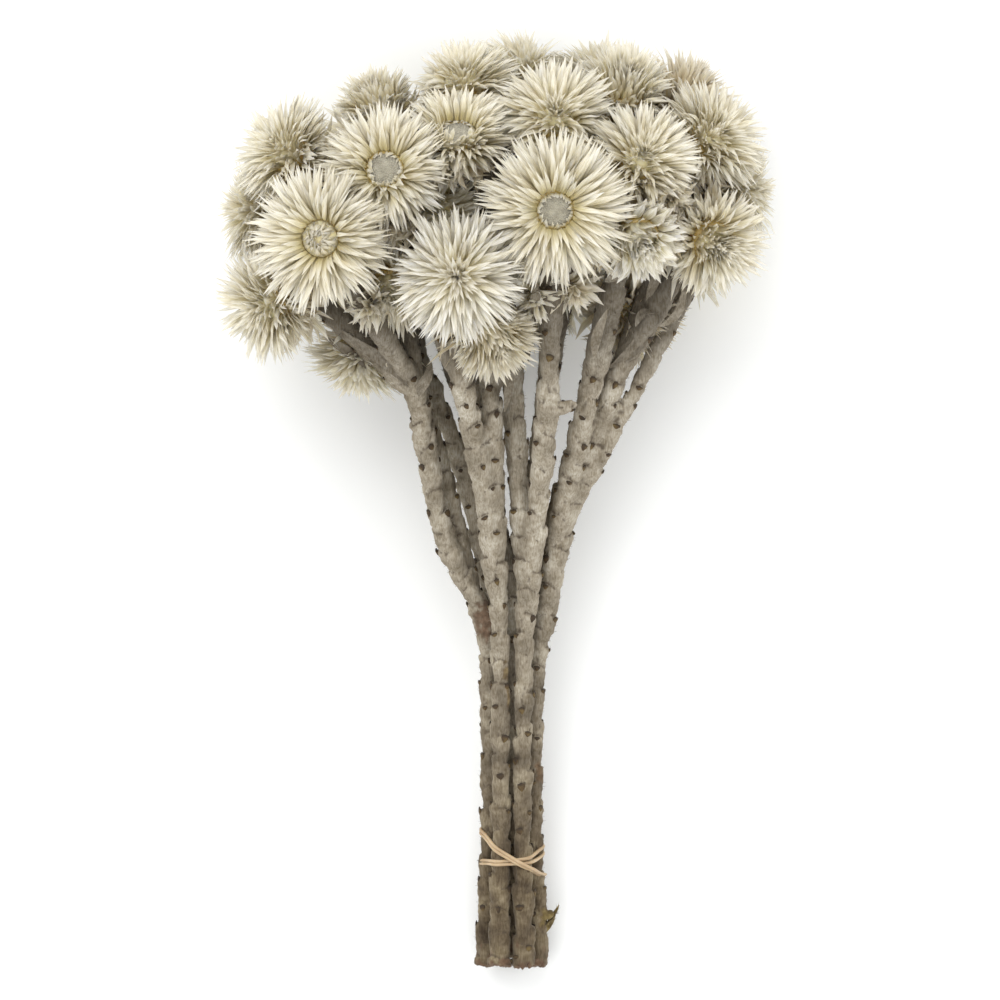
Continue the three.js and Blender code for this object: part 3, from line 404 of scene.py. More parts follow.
# at: middle of the felt disc. looks: the way it faces. radius: out to the bract tips.
# closed: 0 is wide open. yields: how far it gives way to a neighbour. bracts and width: how many, how wide.
# grey and old: how cool and how brown its bracts are. centre: what fills its middle.
blooms = {
    "bloom_01": {"at": (-63, 93, 104), "looks": (-0.25, -0.1, 0.96), "radius": 27.5, "closed": 0.1,
                 "yields": 0.85, "bracts": 560, "centre": "bracts"},
    "bloom_02": {"at": (-40, 118, 98), "looks": (-0.1, 0.2, 0.97), "radius": 25, "closed": 0.1,
                 "centre": "disc"},
    "bloom_03": {"at": (-76, 125, 78), "looks": (-0.6, 0.45, 0.6), "radius": 22.5, "closed": 0.15},
    "bloom_04": {"at": (-82, 70, 76), "looks": (-0.7, -0.25, 0.6), "radius": 24, "closed": 0.3},
    "bloom_05": {"at": (-50, 49, 50), "looks": (-0.3, -0.85, -0.1), "radius": 23, "closed": 0.3,
                 "yields": 1.1},
    "bloom_06": {"at": (-14, 80, 106), "looks": (-0.1, -0.1, 0.98), "radius": 25.5, "closed": 0.1,
                 "grey": 0.8},
    "bloom_07": {"at": (21, 103, 109), "looks": (0.05, -0.1, 0.99), "radius": 28.5, "closed": 0,
                 "yields": 0.8, "bracts": 640, "centre": "disc"},
    "bloom_08": {"at": (-14, 131, 92), "looks": (0, 0.7, 0.7), "radius": 22, "closed": 0.1, "yields": 1.1,
                 "centre": "disc"},
    "bloom_09": {"at": (-12, 150, 64), "looks": (-0.15, 0.8, 0.6), "radius": 22.5, "closed": 0.1},
    "bloom_10": {"at": (10, 155, 34), "looks": (0.1, 0.9, 0.2), "radius": 24, "closed": 0.2},
    "bloom_11": {"at": (21, 137, 86), "looks": (0.05, 0.5, 0.86), "radius": 25, "closed": 0.1},
    "bloom_12": {"at": (-44, 144, 58), "looks": (-0.35, 0.8, 0.4), "radius": 16.5, "closed": 0.4},
    "bloom_13": {"at": (46, 148, 66), "looks": (0.15, 0.7, 0.6), "radius": 22, "closed": 0.6},
    "bloom_14": {"at": (68, 146, 36), "looks": (0.45, 0.85, 0.1), "radius": 24, "closed": 0.4, "old": 0.45},
    "bloom_15": {"at": (77, 130, 68), "looks": (0.6, 0.45, 0.65), "radius": 25, "closed": 0.3},
    "bloom_16": {"at": (52, 122, 92), "looks": (0.2, 0.35, 0.9), "radius": 23, "closed": 0.3},
    "bloom_17": {"at": (51, 93, 95), "looks": (0.15, -0.4, 0.85), "radius": 19.5, "closed": 0.5,
                 "yields": 1.1, "grey": 0.9, "width": 3.2, "bracts": 250},
    "bloom_18": {"at": (78, 92, 79), "looks": (0.4, -0.3, 0.85), "radius": 23, "closed": 0.4, "yields": 0.9},
    "bloom_19": {"at": (-1, 57, 92), "looks": (0.35, -0.7, 0.65), "radius": 20, "closed": 0.6,
                 "yields": 1.1, "old": 0.15},
    "bloom_20": {"at": (88, 112, 44), "looks": (0.95, 0.05, 0.2), "radius": 24, "closed": 0.2},
    "bloom_21": {"at": (-88, 104, 46), "looks": (-0.95, 0.1, 0.05), "radius": 21.5, "closed": 0.2},
    "bloom_22": {"at": (-38, 75, 78), "looks": (-0.2, -0.5, 0.8), "radius": 20.5, "closed": 0.4,
                 "yields": 1.1},
    "bloom_23": {"at": (38, 153, 28), "looks": (0.15, 0.95, -0.1), "radius": 23, "closed": 0.3},
    "bloom_24": {"at": (51, 66, 50), "looks": (0.5, -0.4, 0.6), "radius": 22, "closed": 0.5, "old": 0.6},
    "bloom_25": {"at": (-22, 104, 80), "looks": (-0.1, 0.05, 0.98), "radius": 19, "closed": 0.3,
                 "yields": 1.1},
    "bloom_26": {"at": (-66, 84, 14.5), "looks": (-0.4, -0.2, -0.85), "radius": 25, "closed": 0.1},
    "bloom_27": {"at": (-46, 128, 20), "looks": (-0.35, 0.5, -0.8), "radius": 25, "closed": 0.1},
    "bloom_28": {"at": (-8, 126, 18), "looks": (0, 0.35, -0.9), "radius": 25, "closed": 0.1},
    "bloom_29": {"at": (34, 120, 18), "looks": (0.1, 0.3, -0.9), "radius": 25, "closed": 0.1},
    "bloom_30": {"at": (70, 92, 14.5), "looks": (0.45, -0.1, -0.85), "radius": 25, "closed": 0.1},
    "bloom_31": {"at": (22, 80, 18), "looks": (0.1, -0.4, -0.9), "radius": 24, "closed": 0.2},
    "bloom_32": {"at": (-24, 84, 18), "looks": (-0.1, -0.3, -0.9), "radius": 24, "closed": 0.2},
}
usualBloom = {"yields": 1, "grey": 0.3, "old": 0}
# a bloom that is more closed than this has a cone of bracts in its middle, the others have short pins
coneFrom = 0.4
sideGuide = (0.31, 0.17, 0.93)


def axesOf(at, looks):
    facing = unit(np.array(looks, float))
    side = unit(np.cross(sideGuide, facing))
    return {"centrePoint": np.array(at, float), "facing": facing, "side": side,
            "across": np.cross(facing, side)}


for bloom in blooms.values():
    bloom.update(axesOf(bloom["at"], bloom["looks"]))
    for key, value in usualBloom.items():
        bloom.setdefault(key, value)
    bloom.setdefault("centre", "cone" if bloom["closed"] >= coneFrom else "pins")

# how blooms share the room between them, as in the CAD model
crowding = {"pressDepth": 3, "overlapTilt": 0.9, "overlapDrop": 4, "neighbourReach": 64, "rounds": 4,
            "floor": 0.5, "reachX": 101, "reachY": 170, "slack": 5, "mostSlack": 15}

# walls that nothing of the head passes: the surface it lies on, both sides and the far end
outerWalls = [
    (np.array((0, 0, -1.0)), -crowding["floor"], False),
    (np.array((-1.0, 0, 0)), crowding["reachX"], False),
    (np.array((1.0, 0, 0)), crowding["reachX"], False),
    (np.array((0, 1.0, 0)), crowding["reachY"], False),
]


def wallsOf(name):
    # a wall towards each near neighbour, tilted so that one bloom lies over the other, then the outer walls
    own = blooms[name]
    walls = []
    for other, theirs in blooms.items():
        away = np.linalg.norm(theirs["centrePoint"] - own["centrePoint"])
        if other == name or away > crowding["neighbourReach"]:
            continue
        one, two, sign = (own, theirs, 1) if name < other else (theirs, own, -1)
        towards = two["centrePoint"] - one["centrePoint"]
        apart = np.linalg.norm(towards)
        towards = towards / apart
        common = (one["facing"] + two["facing"]) / 2
        oneShare = one["radius"] / one["yields"]
        share = oneShare / (oneShare + two["radius"] / two["yields"])
        pivot = one["centrePoint"] + towards * apart * share - common * crowding["overlapDrop"]
        upperSign = 1 if towards @ common <= 0 else -1
        normal = unit(towards - common * crowding["overlapTilt"] * upperSign)
        walls.append((normal * sign, (normal @ pivot) * sign, True))
    return walls + outerWalls


def press(points, walls, slack):
    # bends points back inside the walls; slack lets a bract through between its neighbours
    bent = points.copy()
    depth = crowding["pressDepth"]
    for turn in range(crowding["rounds"]):
        for normal, offset, shared in walls:
            inside = offset + (slack if shared else 0) - bent @ normal
            if turn == 0 and shared:
                kept = depth * np.exp((np.minimum(inside, depth) - depth) / depth)
            else:
                kept = np.maximum(inside, 0)
            bent += normal * np.where(inside < depth, inside - kept, 0)[..., None]
    return bent


# bracts: each is a thin boat-shaped blade along its own line

# the bend of every bract. giveBack: how much of the length lost to a wall it regains upwards.
# arches: its own share of the arch. bend: where along it the arch is. follows: how far that goes with the tip.
# sway and lift: its own waves, as shares of its length. swirl: slow waves through the whole bloom.
bractForm = {"giveBack": 0.55, "arches": (0.6, 0.8), "bend": 0.5, "follows": 0.4, "spacing": 0.9,
             "sway": 0.01, "lift": 0.022, "swirlSize": 17, "swirlSeeds": (5, 6, 7), "widths": (0.65, 0.7)}
bladeWidths = ((0, 0.55), (0.25, 0.88), (0.55, 1), (0.8, 0.72), (1, 0.04))

# the white bracts. roots and tips: share of the way in from the lowest layer, then distances out and up.
# Roots are in millimetres, tips are shares of the bloom's radius.
rays = {"count": 540, "width": 1.75, "steps": 4, "arch": 0.36, "roll": 0.36, "lockPull": 0.25, "swirl": 0.15,
        "layers": 6, "unevenTurn": 0.06, "closing": 0.32, "unevenLength": 0.11, "lengths": (0.62, 1.07),
        "closedRise": 0.3, "risesUpTo": 0.8, "unevenRise": 0.04}
underSide = {"count": 190, "width": 2.6, "from": -0.5}
outerRoots = ((0, 8.2, -8), (0.3, 8.7, -5), (0.6, 8.4, -2))
outerTips = ((0, 0.74, -0.42), (0.13, 0.88, -0.26), (0.3, 0.98, -0.12), (0.48, 1, 0.02), (0.64, 0.95, 0.13))
centres = {
    "disc": {"roots": ((1, 6.7, 0.1),), "tips": ((0.8, 0.84, 0.25), (0.93, 0.66, 0.36), (1, 0.5, 0.42))},
    "pins": {"roots": ((0.76, 6.5, 0), (1, 0.6, 0.8)),
             "tips": ((0.74, 0.84, 0.24), (0.83, 0.64, 0.36), (0.92, 0.38, 0.46), (1, 0.08, 0.5))},
    "cone": {"roots": ((0.72, 7, 0), (1, 0.6, 0.8)),
             "tips": ((0.72, 0.66, 0.38), (0.82, 0.42, 0.5), (0.92, 0.22, 0.55), (1, 0.04, 0.58))},
}
centres["bracts"] = centres["disc"]

# colours of the white bracts: the outermost are browner, the innermost golden near their roots
# the golden roots are partly the bracts' own colour and partly painted glow of light through them
rayTones = {"unevenTint": 0.28, "outerAge": 0.55, "agedShare": 0.16, "ownAge": (0.02, 0.07),
            "gold": (0.2, 0.8), "goldFrom": 0.6, "goldOver": 0.3, "lostToGrey": 0.5, "fade": 1.7}

# locks: bracts of a layer lean together in groups of uneven size
lockForm = {"count": (15, 30), "offset": 0.45, "pull": (0.5, 1.2), "sway": 0.07, "length": 0.07, "lift": 0.05}

# the ring of small bracts round an open disc
lip = {"count": 38, "width": 1.5, "steps": 4, "arch": -0.9, "roll": 0.35, "unevenTurn": 0.06, "tipTurn": 0.2,
       "rootOut": (6.2, 6.8), "rootUp": -0.3, "tipOut": (3.9, 5.6), "tipUp": (0.5, 1.3), "tint": (0.3, 0.9),
       "age": (0, 0.06), "gold": (0.6, 1)}
# the bracts that close over the middle of the bloom that has no disc
heart = {"count": 56, "width": 2.1, "steps": 4, "arch": -0.9, "roll": 0.4, "tipTurn": 0.3,
         "rootOut": (6.2, -4.4), "rootUp": -0.4, "tipOut": (3.6, -2.9), "tipUp": (4.2, -1.4),
         "tint": (0.6, 1), "age": 0.8, "agedFrom": 0.93, "gold": 0.4}
# the tan scales under a bloom, curled outwards
scales = {"count": 90, "width": 2.6, "steps": 4, "arch": -0.6, "roll": 0.7, "tipTurn": 0.35,
          "rootOut": (4.2, 4.2), "rootUp": (-12, 5), "tipOut": (11, 12), "unevenOut": 2, "tipUp": (-14, 7),
          "unevenUp": 2.2, "slack": 3, "tint": (0, 0.5), "age": (0.1, 0.85)}


def spines(bloom, plan, rng, rootOut, rootUp, tipOut, tipUp, angle, tipAngle, walls, slack):
    # the middle line of each bract, the way its face looks and its width, from where its root and tip are
    count, steps = len(angle), plan["steps"]

    def place(out, up, turn):
        radial = np.cos(turn)[:, None] * bloom["side"] + np.sin(turn)[:, None] * bloom["across"]
        return bloom["centrePoint"] + radial * out[:, None] + bloom["facing"] * up[:, None], radial

    root, radial = place(rootOut, rootUp, angle)
    goal, tipRadial = place(tipOut, tipUp, tipAngle)
    length = np.linalg.norm(goal - root, axis=1)
    tip = press(goal, walls, slack)
    lost = np.maximum(length - np.linalg.norm(tip - root, axis=1), 0)
    tip = press(tip + bloom["facing"] * (lost * bractForm["giveBack"])[:, None], walls, slack)
    rise = np.arctan2(tipUp - rootUp, tipOut - rootOut)
    rise = rise + plan["arch"] * sloped(bractForm["arches"], rng.random(count))
    heading = radial * np.cos(rise)[:, None] + bloom["facing"] * np.sin(rise)[:, None]
    middle = root + heading * (length * bractForm["bend"])[:, None] + (tip - goal) * bractForm["follows"]
    along = np.linspace(0, 1, steps) ** bractForm["spacing"]
    u = along[None, :, None]
    line = (1 - u) ** 2 * root[:, None] + 2 * u * (1 - u) * middle[:, None] + u ** 2 * tip[:, None]
    sideways = np.cross(bloom["facing"], tipRadial)
    sway = rng.normal(0, bractForm["sway"], (count, 1)) * length[:, None] * np.sin(2 * np.pi * along)[None]
    lift = rng.normal(0, bractForm["lift"], (count, 1)) * length[:, None] * np.sin(np.pi * along)[None]
    line = line + sideways[:, None] * sway[..., None] + bloom["facing"] * lift[..., None]
    swirls = [smoothNoise(line.reshape(-1, 3), bractForm["swirlSize"], seed)
              for seed in bractForm["swirlSeeds"]]
    swirl = np.stack(swirls, 1).reshape(line.shape)
    line = line + swirl * (along ** 2)[None, :, None] * plan.get("swirl", 0)
    line[:, 1:] = press(line[:, 1:], walls, slack[:, None])
    tangent = unit(np.gradient(line, axis=1))
    flat = unit(np.cross(tangent, sideways[:, None]))
    roll = rng.normal(0, plan["roll"], (count, 1, 1))
    flat = unit(flat * np.cos(roll) + np.cross(tangent, flat) * np.sin(roll))
    stops, shares = zip(*bladeWidths)
    width = plan["width"] * sloped(bractForm["widths"], rng.random((count, 1)))
    width = width * np.interp(along, stops, shares)[None]
    return {"line": line, "flat": flat, "wide": width, "along": np.tile(along, (count, 1))}


def inLocks(angle, layer, rng):
    # gives the bracts' tip angles, and each lock's own length and lift
    form = lockForm
    pulled, length, lift = angle.copy(), np.ones(len(angle)), np.zeros(len(angle))
    for group in np.unique(layer):
        members = np.nonzero(layer == group)[0]
        count = int(rng.integers(*form["count"]))
        locks = (np.arange(count) + rng.uniform(-form["offset"], form["offset"], count)) * 2 * np.pi / count
        gap = (locks[None] - angle[members][:, None] + np.pi) % (2 * np.pi) - np.pi
        own = np.abs(gap).argmin(1)
        nearest = gap[np.arange(len(members)), own]
        pulled[members] += nearest * rays["lockPull"] * rng.uniform(*form["pull"], count)[own]
        pulled[members] += rng.normal(0, form["sway"], count)[own]
        length[members] = (1 + rng.normal(0, form["length"], count))[own]
        lift[members] = rng.normal(0, form["lift"], count)[own]
    return pulled, length, lift


def inward(count):
    # the place of each bract of a set: 0 is the outermost or lowest, 1 the innermost
    return (np.arange(count) + 0.5) / count


def raySpines(bloom, walls, rng):
    radius, closed = bloom["radius"], bloom["closed"]
    under = underSide if bloom["facing"][2] < underSide["from"] else {}
    plan = {**rays, **under, "width": bloom.get("width", under.get("width", rays["width"]))}
    count = bloom.get("bracts", plan["count"])
    share = inward(count)
    angle = np.arange(count) * goldenAngle + rng.normal(0, plan["unevenTurn"], count)
    rootAt, rootOuts, rootUps = zip(*outerRoots, *centres[bloom["centre"]]["roots"])
    tipAt, tipOuts, tipUps = zip(*outerTips, *centres[bloom["centre"]]["tips"])
    tipAngle, lockLength, lockLift = inLocks(angle, np.floor(share * plan["layers"]), rng)
    length = (lockLength + plan["unevenLength"] * rng.normal(0, 1, count)).clip(*plan["lengths"])
    tipOut = np.interp(share, tipAt, tipOuts) * radius * ((1 - plan["closing"] * closed) * length)
    rise = plan["closedRise"] * closed * (share < plan["risesUpTo"])
    tipUp = (np.interp(share, tipAt, tipUps) + rise + lockLift) * radius
    tipUp += rng.normal(0, plan["unevenRise"], count) * radius
    slack = rng.exponential(crowding["slack"], count).clip(0, crowding["mostSlack"])
    made = spines(bloom, plan, rng, np.interp(share, rootAt, rootOuts), np.interp(share, rootAt, rootUps),
                  tipOut, tipUp, angle, tipAngle, walls, slack)
    tones = rayTones
    tint = (bloom["grey"] + rng.normal(0, tones["unevenTint"], count)).clip(0, 1)
    outermost = tones["outerAge"] * np.maximum(tones["agedShare"] - share, 0) / tones["agedShare"]
    age = bloom["old"] + outermost + rng.normal(*tones["ownAge"], count)
    gold = sloped(tones["gold"], ((share - tones["goldFrom"]) / tones["goldOver"]).clip(0, 1))
    return made, tint, age.clip(0, 1), gold * (1 - tones["lostToGrey"] * bloom["grey"])


def lipSpines(bloom, walls, rng):
    count = lip["count"]
    angle = np.arange(count) * 2 * np.pi / count + rng.normal(0, lip["unevenTurn"], count)
    made = spines(bloom, lip, rng, rng.uniform(*lip["rootOut"], count), np.full(count, lip["rootUp"]),
                  rng.uniform(*lip["tipOut"], count), rng.uniform(*lip["tipUp"], count), angle,
                  angle + rng.normal(0, lip["tipTurn"], count), walls, np.zeros(count))
    tint, age, gold = [rng.uniform(*lip[label], count) for label in ("tint", "age", "gold")]
    return made, tint, age, gold


def heartSpines(bloom, walls, rng):
    count = heart["count"]
    share = inward(count)
    angle = np.arange(count) * goldenAngle
    made = spines(bloom, heart, rng, sloped(heart["rootOut"], share), np.full(count, heart["rootUp"]),
                  sloped(heart["tipOut"], share), sloped(heart["tipUp"], share), angle,
                  angle + rng.normal(0, heart["tipTurn"], count), walls, np.zeros(count))
    age = heart["age"] * (share > heart["agedFrom"])
    return made, rng.uniform(*heart["tint"], count), age, np.full(count, heart["gold"])


def scaleSpines(bloom, walls, rng):
    count = scales["count"]
    share = inward(count)
    angle = np.arange(count) * goldenAngle
    made = spines(bloom, scales, rng, sloped(scales["rootOut"], share), sloped(scales["rootUp"], share),
                  sloped(scales["tipOut"], share) + rng.normal(0, scales["unevenOut"], count),
                  sloped(scales["tipUp"], share) + rng.normal(0, scales["unevenUp"], count), angle,
                  angle + rng.normal(0, scales["tipTurn"], count), walls,
                  rng.exponential(scales["slack"], count))
    return made, rng.uniform(*scales["tint"], count), rng.uniform(*scales["age"], count), np.zeros(count)


# ragged tufts of papery bracts that fill the room between blooms: the bloom each hangs on,
# its middle, the way it faces, its radius and how brown it is
tufts = (
    ("bloom_07", (2, 74, 88), (-0.2, -0.6, 0.75), 12, 0.1),
    ("bloom_07", (14, 71, 89), (0, -0.65, 0.75), 13, 0.2),
    ("bloom_07", (28, 74, 88), (0.3, -0.6, 0.75), 12, 0.3),
    ("bloom_07", (38, 86, 92), (0.5, -0.4, 0.75), 10, 0.3),
    ("bloom_02", (-38, 98, 92), (-0.1, -0.4, 0.9), 10, 0.5),
    ("bloom_08", (-19, 118, 94), (-0.1, -0.5, 0.85), 13, 0.15),
    ("bloom_11", (36, 122, 95), (0.2, -0.1, 0.95), 10, 0.3),
    ("bloom_16", (64, 108, 88), (0.3, 0, 0.95), 11, 0.3),
    ("bloom_06", (-30, 96, 92), (-0.3, 0.1, 0.95), 9, 0.3),
    ("bloom_19", (12, 60, 82), (0.3, -0.7, 0.6), 12, 0.3),
    ("bloom_22", (-46, 68, 84), (-0.3, -0.5, 0.8), 11, 0.3),
)
tuftBracts = {"count": 56, "width": 2.4, "steps": 4, "arch": 0.25, "roll": 0.9, "unevenTurn": 0.3,
              "tipTurn": 0.35, "rootOut": 2.5, "rootUp": (-6, 3), "shorter": 0.75, "lengths": (0.6, 1.15),
              "tipUp": (-0.2, 0.75), "unevenUp": 1.6, "tint": (0.1, 0.8), "unevenAge": 0.15, "gold": 0.3}


def tuftSpines(middle, looks, radius, brown, rng):
    plan = tuftBracts
    count = plan["count"]
    share = inward(count)
    angle = np.arange(count) * goldenAngle + rng.normal(0, plan["unevenTurn"], count)
    tipOut = radius * (1 - plan["shorter"] * share ** 2) * rng.uniform(*plan["lengths"], count)
    tipUp = radius * sloped(plan["tipUp"], share) + rng.normal(0, plan["unevenUp"], count)
    made = spines(axesOf(middle, looks), plan, rng, plan["rootOut"] * (1 - share),
                  sloped(plan["rootUp"], share), tipOut, tipUp, angle,
                  angle + rng.normal(0, plan["tipTurn"], count), outerWalls, np.zeros(count))
    tint = rng.uniform(*plan["tint"], count)
    return made, tint, (brown + rng.normal(0, plan["unevenAge"], count)).clip(0, 1), plan["gold"] * share


def bloomSpines(name, rng):
    # the lines of all the bracts of a bloom, each with its colours
    bloom, walls = blooms[name], wallsOf(name)
    sets = [raySpines(bloom, walls, rng)]
    if bloom["centre"] in ("disc", "bracts"):
        sets.append(lipSpines(bloom, walls, rng))
    if bloom["centre"] == "bracts":
        sets.append(heartSpines(bloom, walls, rng))
    sets.append(scaleSpines(bloom, walls, rng))
    sets += [tuftSpines(*tuft, rng) for owner, *tuft in tufts if owner == name]
    for made, *tones in sets:
        for label, values in zip(("tint", "age", "gold"), tones):
            made[label] = np.repeat(values[:, None], made["along"].shape[1], 1)
        made["gold"] = made["gold"] * (1 - made["along"]) ** rayTones["fade"]
    return [entry[0] for entry in sets]


def spineMesh(name, sets):
    points, edges, values = [], [], {"flat": [], "wide": [], "along": [], "tint": [], "age": [], "gold": []}
    start = 0
    for made in sets:
        count, steps = made["along"].shape
        points.append(made["line"].reshape(-1, 3) * metre)
        for row in range(count):
            first = start + row * steps
            edges += [(first + k, first + k + 1) for k in range(steps - 1)]
        start += count * steps
        for label in values:
            values[label].append(made[label].reshape(-1, 3) if label == "flat" else made[label].ravel())
    mesh = bpy.data.meshes.new(name)
    mesh.from_pydata(np.concatenate(points).tolist(), edges, [])
    for label, parts in values.items():
        storeNumbers(mesh, label, np.concatenate(parts) * (metre if label == "wide" else 1))
    return mesh


def bladeTree():
    # sweeps a thin keeled section along each line, as wide as the line says
    tree, given, result = geometryTree("bladesAlongLines", {
        "Edge Lift": ("Float", 0.13), "Keel": ("Float", 0.1), "Thickness": ("Float", 0.075),
        "Crease Angle": ("Float", 1.1), "Material": ("Material", None)})
    wide = addNode(tree, "GeometryNodeInputNamedAttribute", {"data_type": "FLOAT", "Name": "wide"})
    flat = addNode(tree, "GeometryNodeInputNamedAttribute", {"data_type": "FLOAT_VECTOR", "Name": "flat"})
    curve = addNode(tree, "GeometryNodeMeshToCurve", links={"Mesh": given.outputs["Geometry"]})
    turned = addNode(tree, "GeometryNodeSetCurveNormal", {"mode": "FREE"},
                     {"Curve": curve.outputs["Curve"], "Normal": flat.outputs["Attribute"]})
    low = addNode(tree, "ShaderNodeMath", {"operation": "MULTIPLY", 1: -1.0}, {0: given.outputs["Keel"]})
    high = addNode(tree, "ShaderNodeMath", {"operation": "ADD"},
                   {0: low.outputs[0], 1: given.outputs["Thickness"]})
    left = addNode(tree, "ShaderNodeCombineXYZ", {"Y": 0.5}, {"X": given.outputs["Edge Lift"]})
    under = addNode(tree, "ShaderNodeCombineXYZ", links={"X": low.outputs[0]})
    right = addNode(tree, "ShaderNodeCombineXYZ", {"Y": -0.5}, {"X": given.outputs["Edge Lift"]})
    over = addNode(tree, "ShaderNodeCombineXYZ", links={"X": high.outputs[0]})
    section = addNode(tree, "GeometryNodeCurvePrimitiveQuadrilateral", {"mode": "POINTS"},
                      {"Point 1": left.outputs[0], "Point 2": under.outputs[0], "Point 3": right.outputs[0],
                       "Point 4": over.outputs[0]})
    position = addNode(tree, "GeometryNodeInputPosition")
    split = addNode(tree, "ShaderNodeSeparateXYZ", links={0: position.outputs[0]})
    marked = addNode(tree, "GeometryNodeStoreNamedAttribute",
                     {"data_type": "FLOAT", "domain": "POINT", "Name": "across"},
                     {"Geometry": section.outputs["Curve"], "Value": split.outputs["Y"]})
    swept = addNode(tree, "GeometryNodeCurveToMesh", {"Fill Caps": True},
                    {"Curve": turned.outputs["Curve"], "Profile Curve": marked.outputs["Geometry"],
                     "Scale": wide.outputs["Attribute"]})
    angle = addNode(tree, "GeometryNodeInputMeshEdgeAngle")
    sharp = addNode(tree, "FunctionNodeCompare", {"data_type": "FLOAT", "operation": "GREATER_THAN"},
                    {0: angle.outputs["Unsigned Angle"], 1: given.outputs["Crease Angle"]})
    smooth = addNode(tree, "GeometryNodeSetShadeSmooth", {"domain": "FACE", "Shade Smooth": True},
                     {"Geometry": swept.outputs["Mesh"]})
    creased = addNode(tree, "GeometryNodeSetShadeSmooth", {"domain": "EDGE", "Shade Smooth": False},
                      {"Geometry": smooth.outputs["Geometry"], "Selection": sharp.outputs[0]})
    return endTree(tree, creased.outputs["Geometry"], given, result)


# the cup under the bracts and the pad of its disc, turned from their outlines, and the florets on the pad

cup = {"outline": ((0, -12.9), (2.9, -12.9), (5.6, -9.6), (7.6, -6), (7.8, -2.6), (7, -0.9), (6.1, -0.7),
                   (0, -0.9)),
       "sides": 16}
disc = {"outline": ((0, -1.6), (4.4, -1.6), (6, -1), (5.8, -0.5), (4.2, -0.15), (2.2, 0), (0, 0.05)),
        "radius": 5.4, "florets": 120, "width": 1.2, "height": 0.36}
# a bloom whose disc doesn't show has a pale yellow core instead, of this height for each centre
core = {"outline": ((0, -0.2), (0.7, -0.2), (0.97, 0), (0.9, 0.35), (0.66, 0.72), (0.35, 0.93), (0, 1)),
        "radius": 6.9, "heights": {"pins": 5.2, "cone": 5.5, "bracts": 1.6}, "along": 0.6, "gold": 0.6}


def turnedMesh(name, outline, sides):
    points = [(0, 0, outline[0][1])]
    for out, up in outline[1:-1]:
        points += [(out * math.cos(k * 2 * math.pi / sides), out * math.sin(k * 2 * math.pi / sides), up)
                   for k in range(sides)]
    points.append((0, 0, outline[-1][1]))
    faces = [(0, 1 + (k + 1) % sides, 1 + k) for k in range(sides)]
    rings = len(outline) - 2
    for ring in range(rings - 1):
        low, high = 1 + ring * sides, 1 + (ring + 1) * sides
        faces += [(low + k, low + (k + 1) % sides, high + (k + 1) % sides, high + k) for k in range(sides)]
    top = 1 + (rings - 1) * sides
    faces += [(top + k, top + (k + 1) % sides, len(points) - 1) for k in range(sides)]
    mesh = bpy.data.meshes.new(name)
    mesh.from_pydata([(x * metre, y * metre, z * metre) for x, y, z in points], [], faces)
    mesh.shade_smooth()
    return mesh


def floretTree():
    # a spiral of small blunt florets on the disc
    tree, given, result = geometryTree("floretsOnDisc", {
        "Count": ("Int", 150), "Radius": ("Float", 0.006), "Floret Width": ("Float", 0.001),
        "Floret Height": ("Float", 0.001), "Seed": ("Int", 0), "Material": ("Material", None)})
    points = addNode(tree, "GeometryNodePoints", links={"Count": given.outputs["Count"]})
    index = addNode(tree, "GeometryNodeInputIndex")
    turn = addNode(tree, "ShaderNodeMath", {"operation": "MULTIPLY", 1: goldenAngle}, {0: index.outputs[0]})
    part = addNode(tree, "ShaderNodeMath", {"operation": "DIVIDE"},
                   {0: index.outputs[0], 1: given.outputs["Count"]})
    root = addNode(tree, "ShaderNodeMath", {"operation": "SQRT"}, {0: part.outputs[0]})
    out = addNode(tree, "ShaderNodeMath", {"operation": "MULTIPLY"},
                  {0: root.outputs[0], 1: given.outputs["Radius"]})
    cosine = addNode(tree, "ShaderNodeMath", {"operation": "COSINE"}, {0: turn.outputs[0]})
    sine = addNode(tree, "ShaderNodeMath", {"operation": "SINE"}, {0: turn.outputs[0]})
    x = addNode(tree, "ShaderNodeMath", {"operation": "MULTIPLY"}, {0: cosine.outputs[0], 1: out.outputs[0]})
    y = addNode(tree, "ShaderNodeMath", {"operation": "MULTIPLY"}, {0: sine.outputs[0], 1: out.outputs[0]})
    jitter = addNode(tree, "FunctionNodeRandomValue", {"data_type": "FLOAT", 2: 0.7, 3: 1.25},
                     {"Seed": given.outputs["Seed"]})
    drop = addNode(tree, "ShaderNodeMath", {"operation": "MULTIPLY", 1: -0.35},
                   {0: given.outputs["Floret Height"]})
    spot = addNode(tree, "ShaderNodeCombineXYZ",
                   links={"X": x.outputs[0], "Y": y.outputs[0], "Z": drop.outputs[0]})
    placed = addNode(tree, "GeometryNodeSetPosition",
                     links={"Geometry": points.outputs[0], "Position": spot.outputs[0]})
    bottom, top = [
        addNode(tree, "ShaderNodeMath", {"operation": "MULTIPLY", 1: part},
                {0: given.outputs["Floret Width"]}) for part in (0.5, 0.22)]
    floret = addNode(tree, "GeometryNodeMeshCone", {"Vertices": 5},
                     {"Radius Bottom": bottom.outputs[0], "Radius Top": top.outputs[0],
                      "Depth": given.outputs["Floret Height"]})
    copies = addNode(tree, "GeometryNodeInstanceOnPoints",
                     links={"Points": placed.outputs["Geometry"], "Instance": floret.outputs["Mesh"],
                            "Scale": jitter.outputs[1]})
    both = addNode(tree, "GeometryNodeJoinGeometry", links={0: copies.outputs["Instances"]})
    tree.links.new(given.outputs["Geometry"], both.inputs[0])
    return endTree(tree, both.outputs[0], given, result)


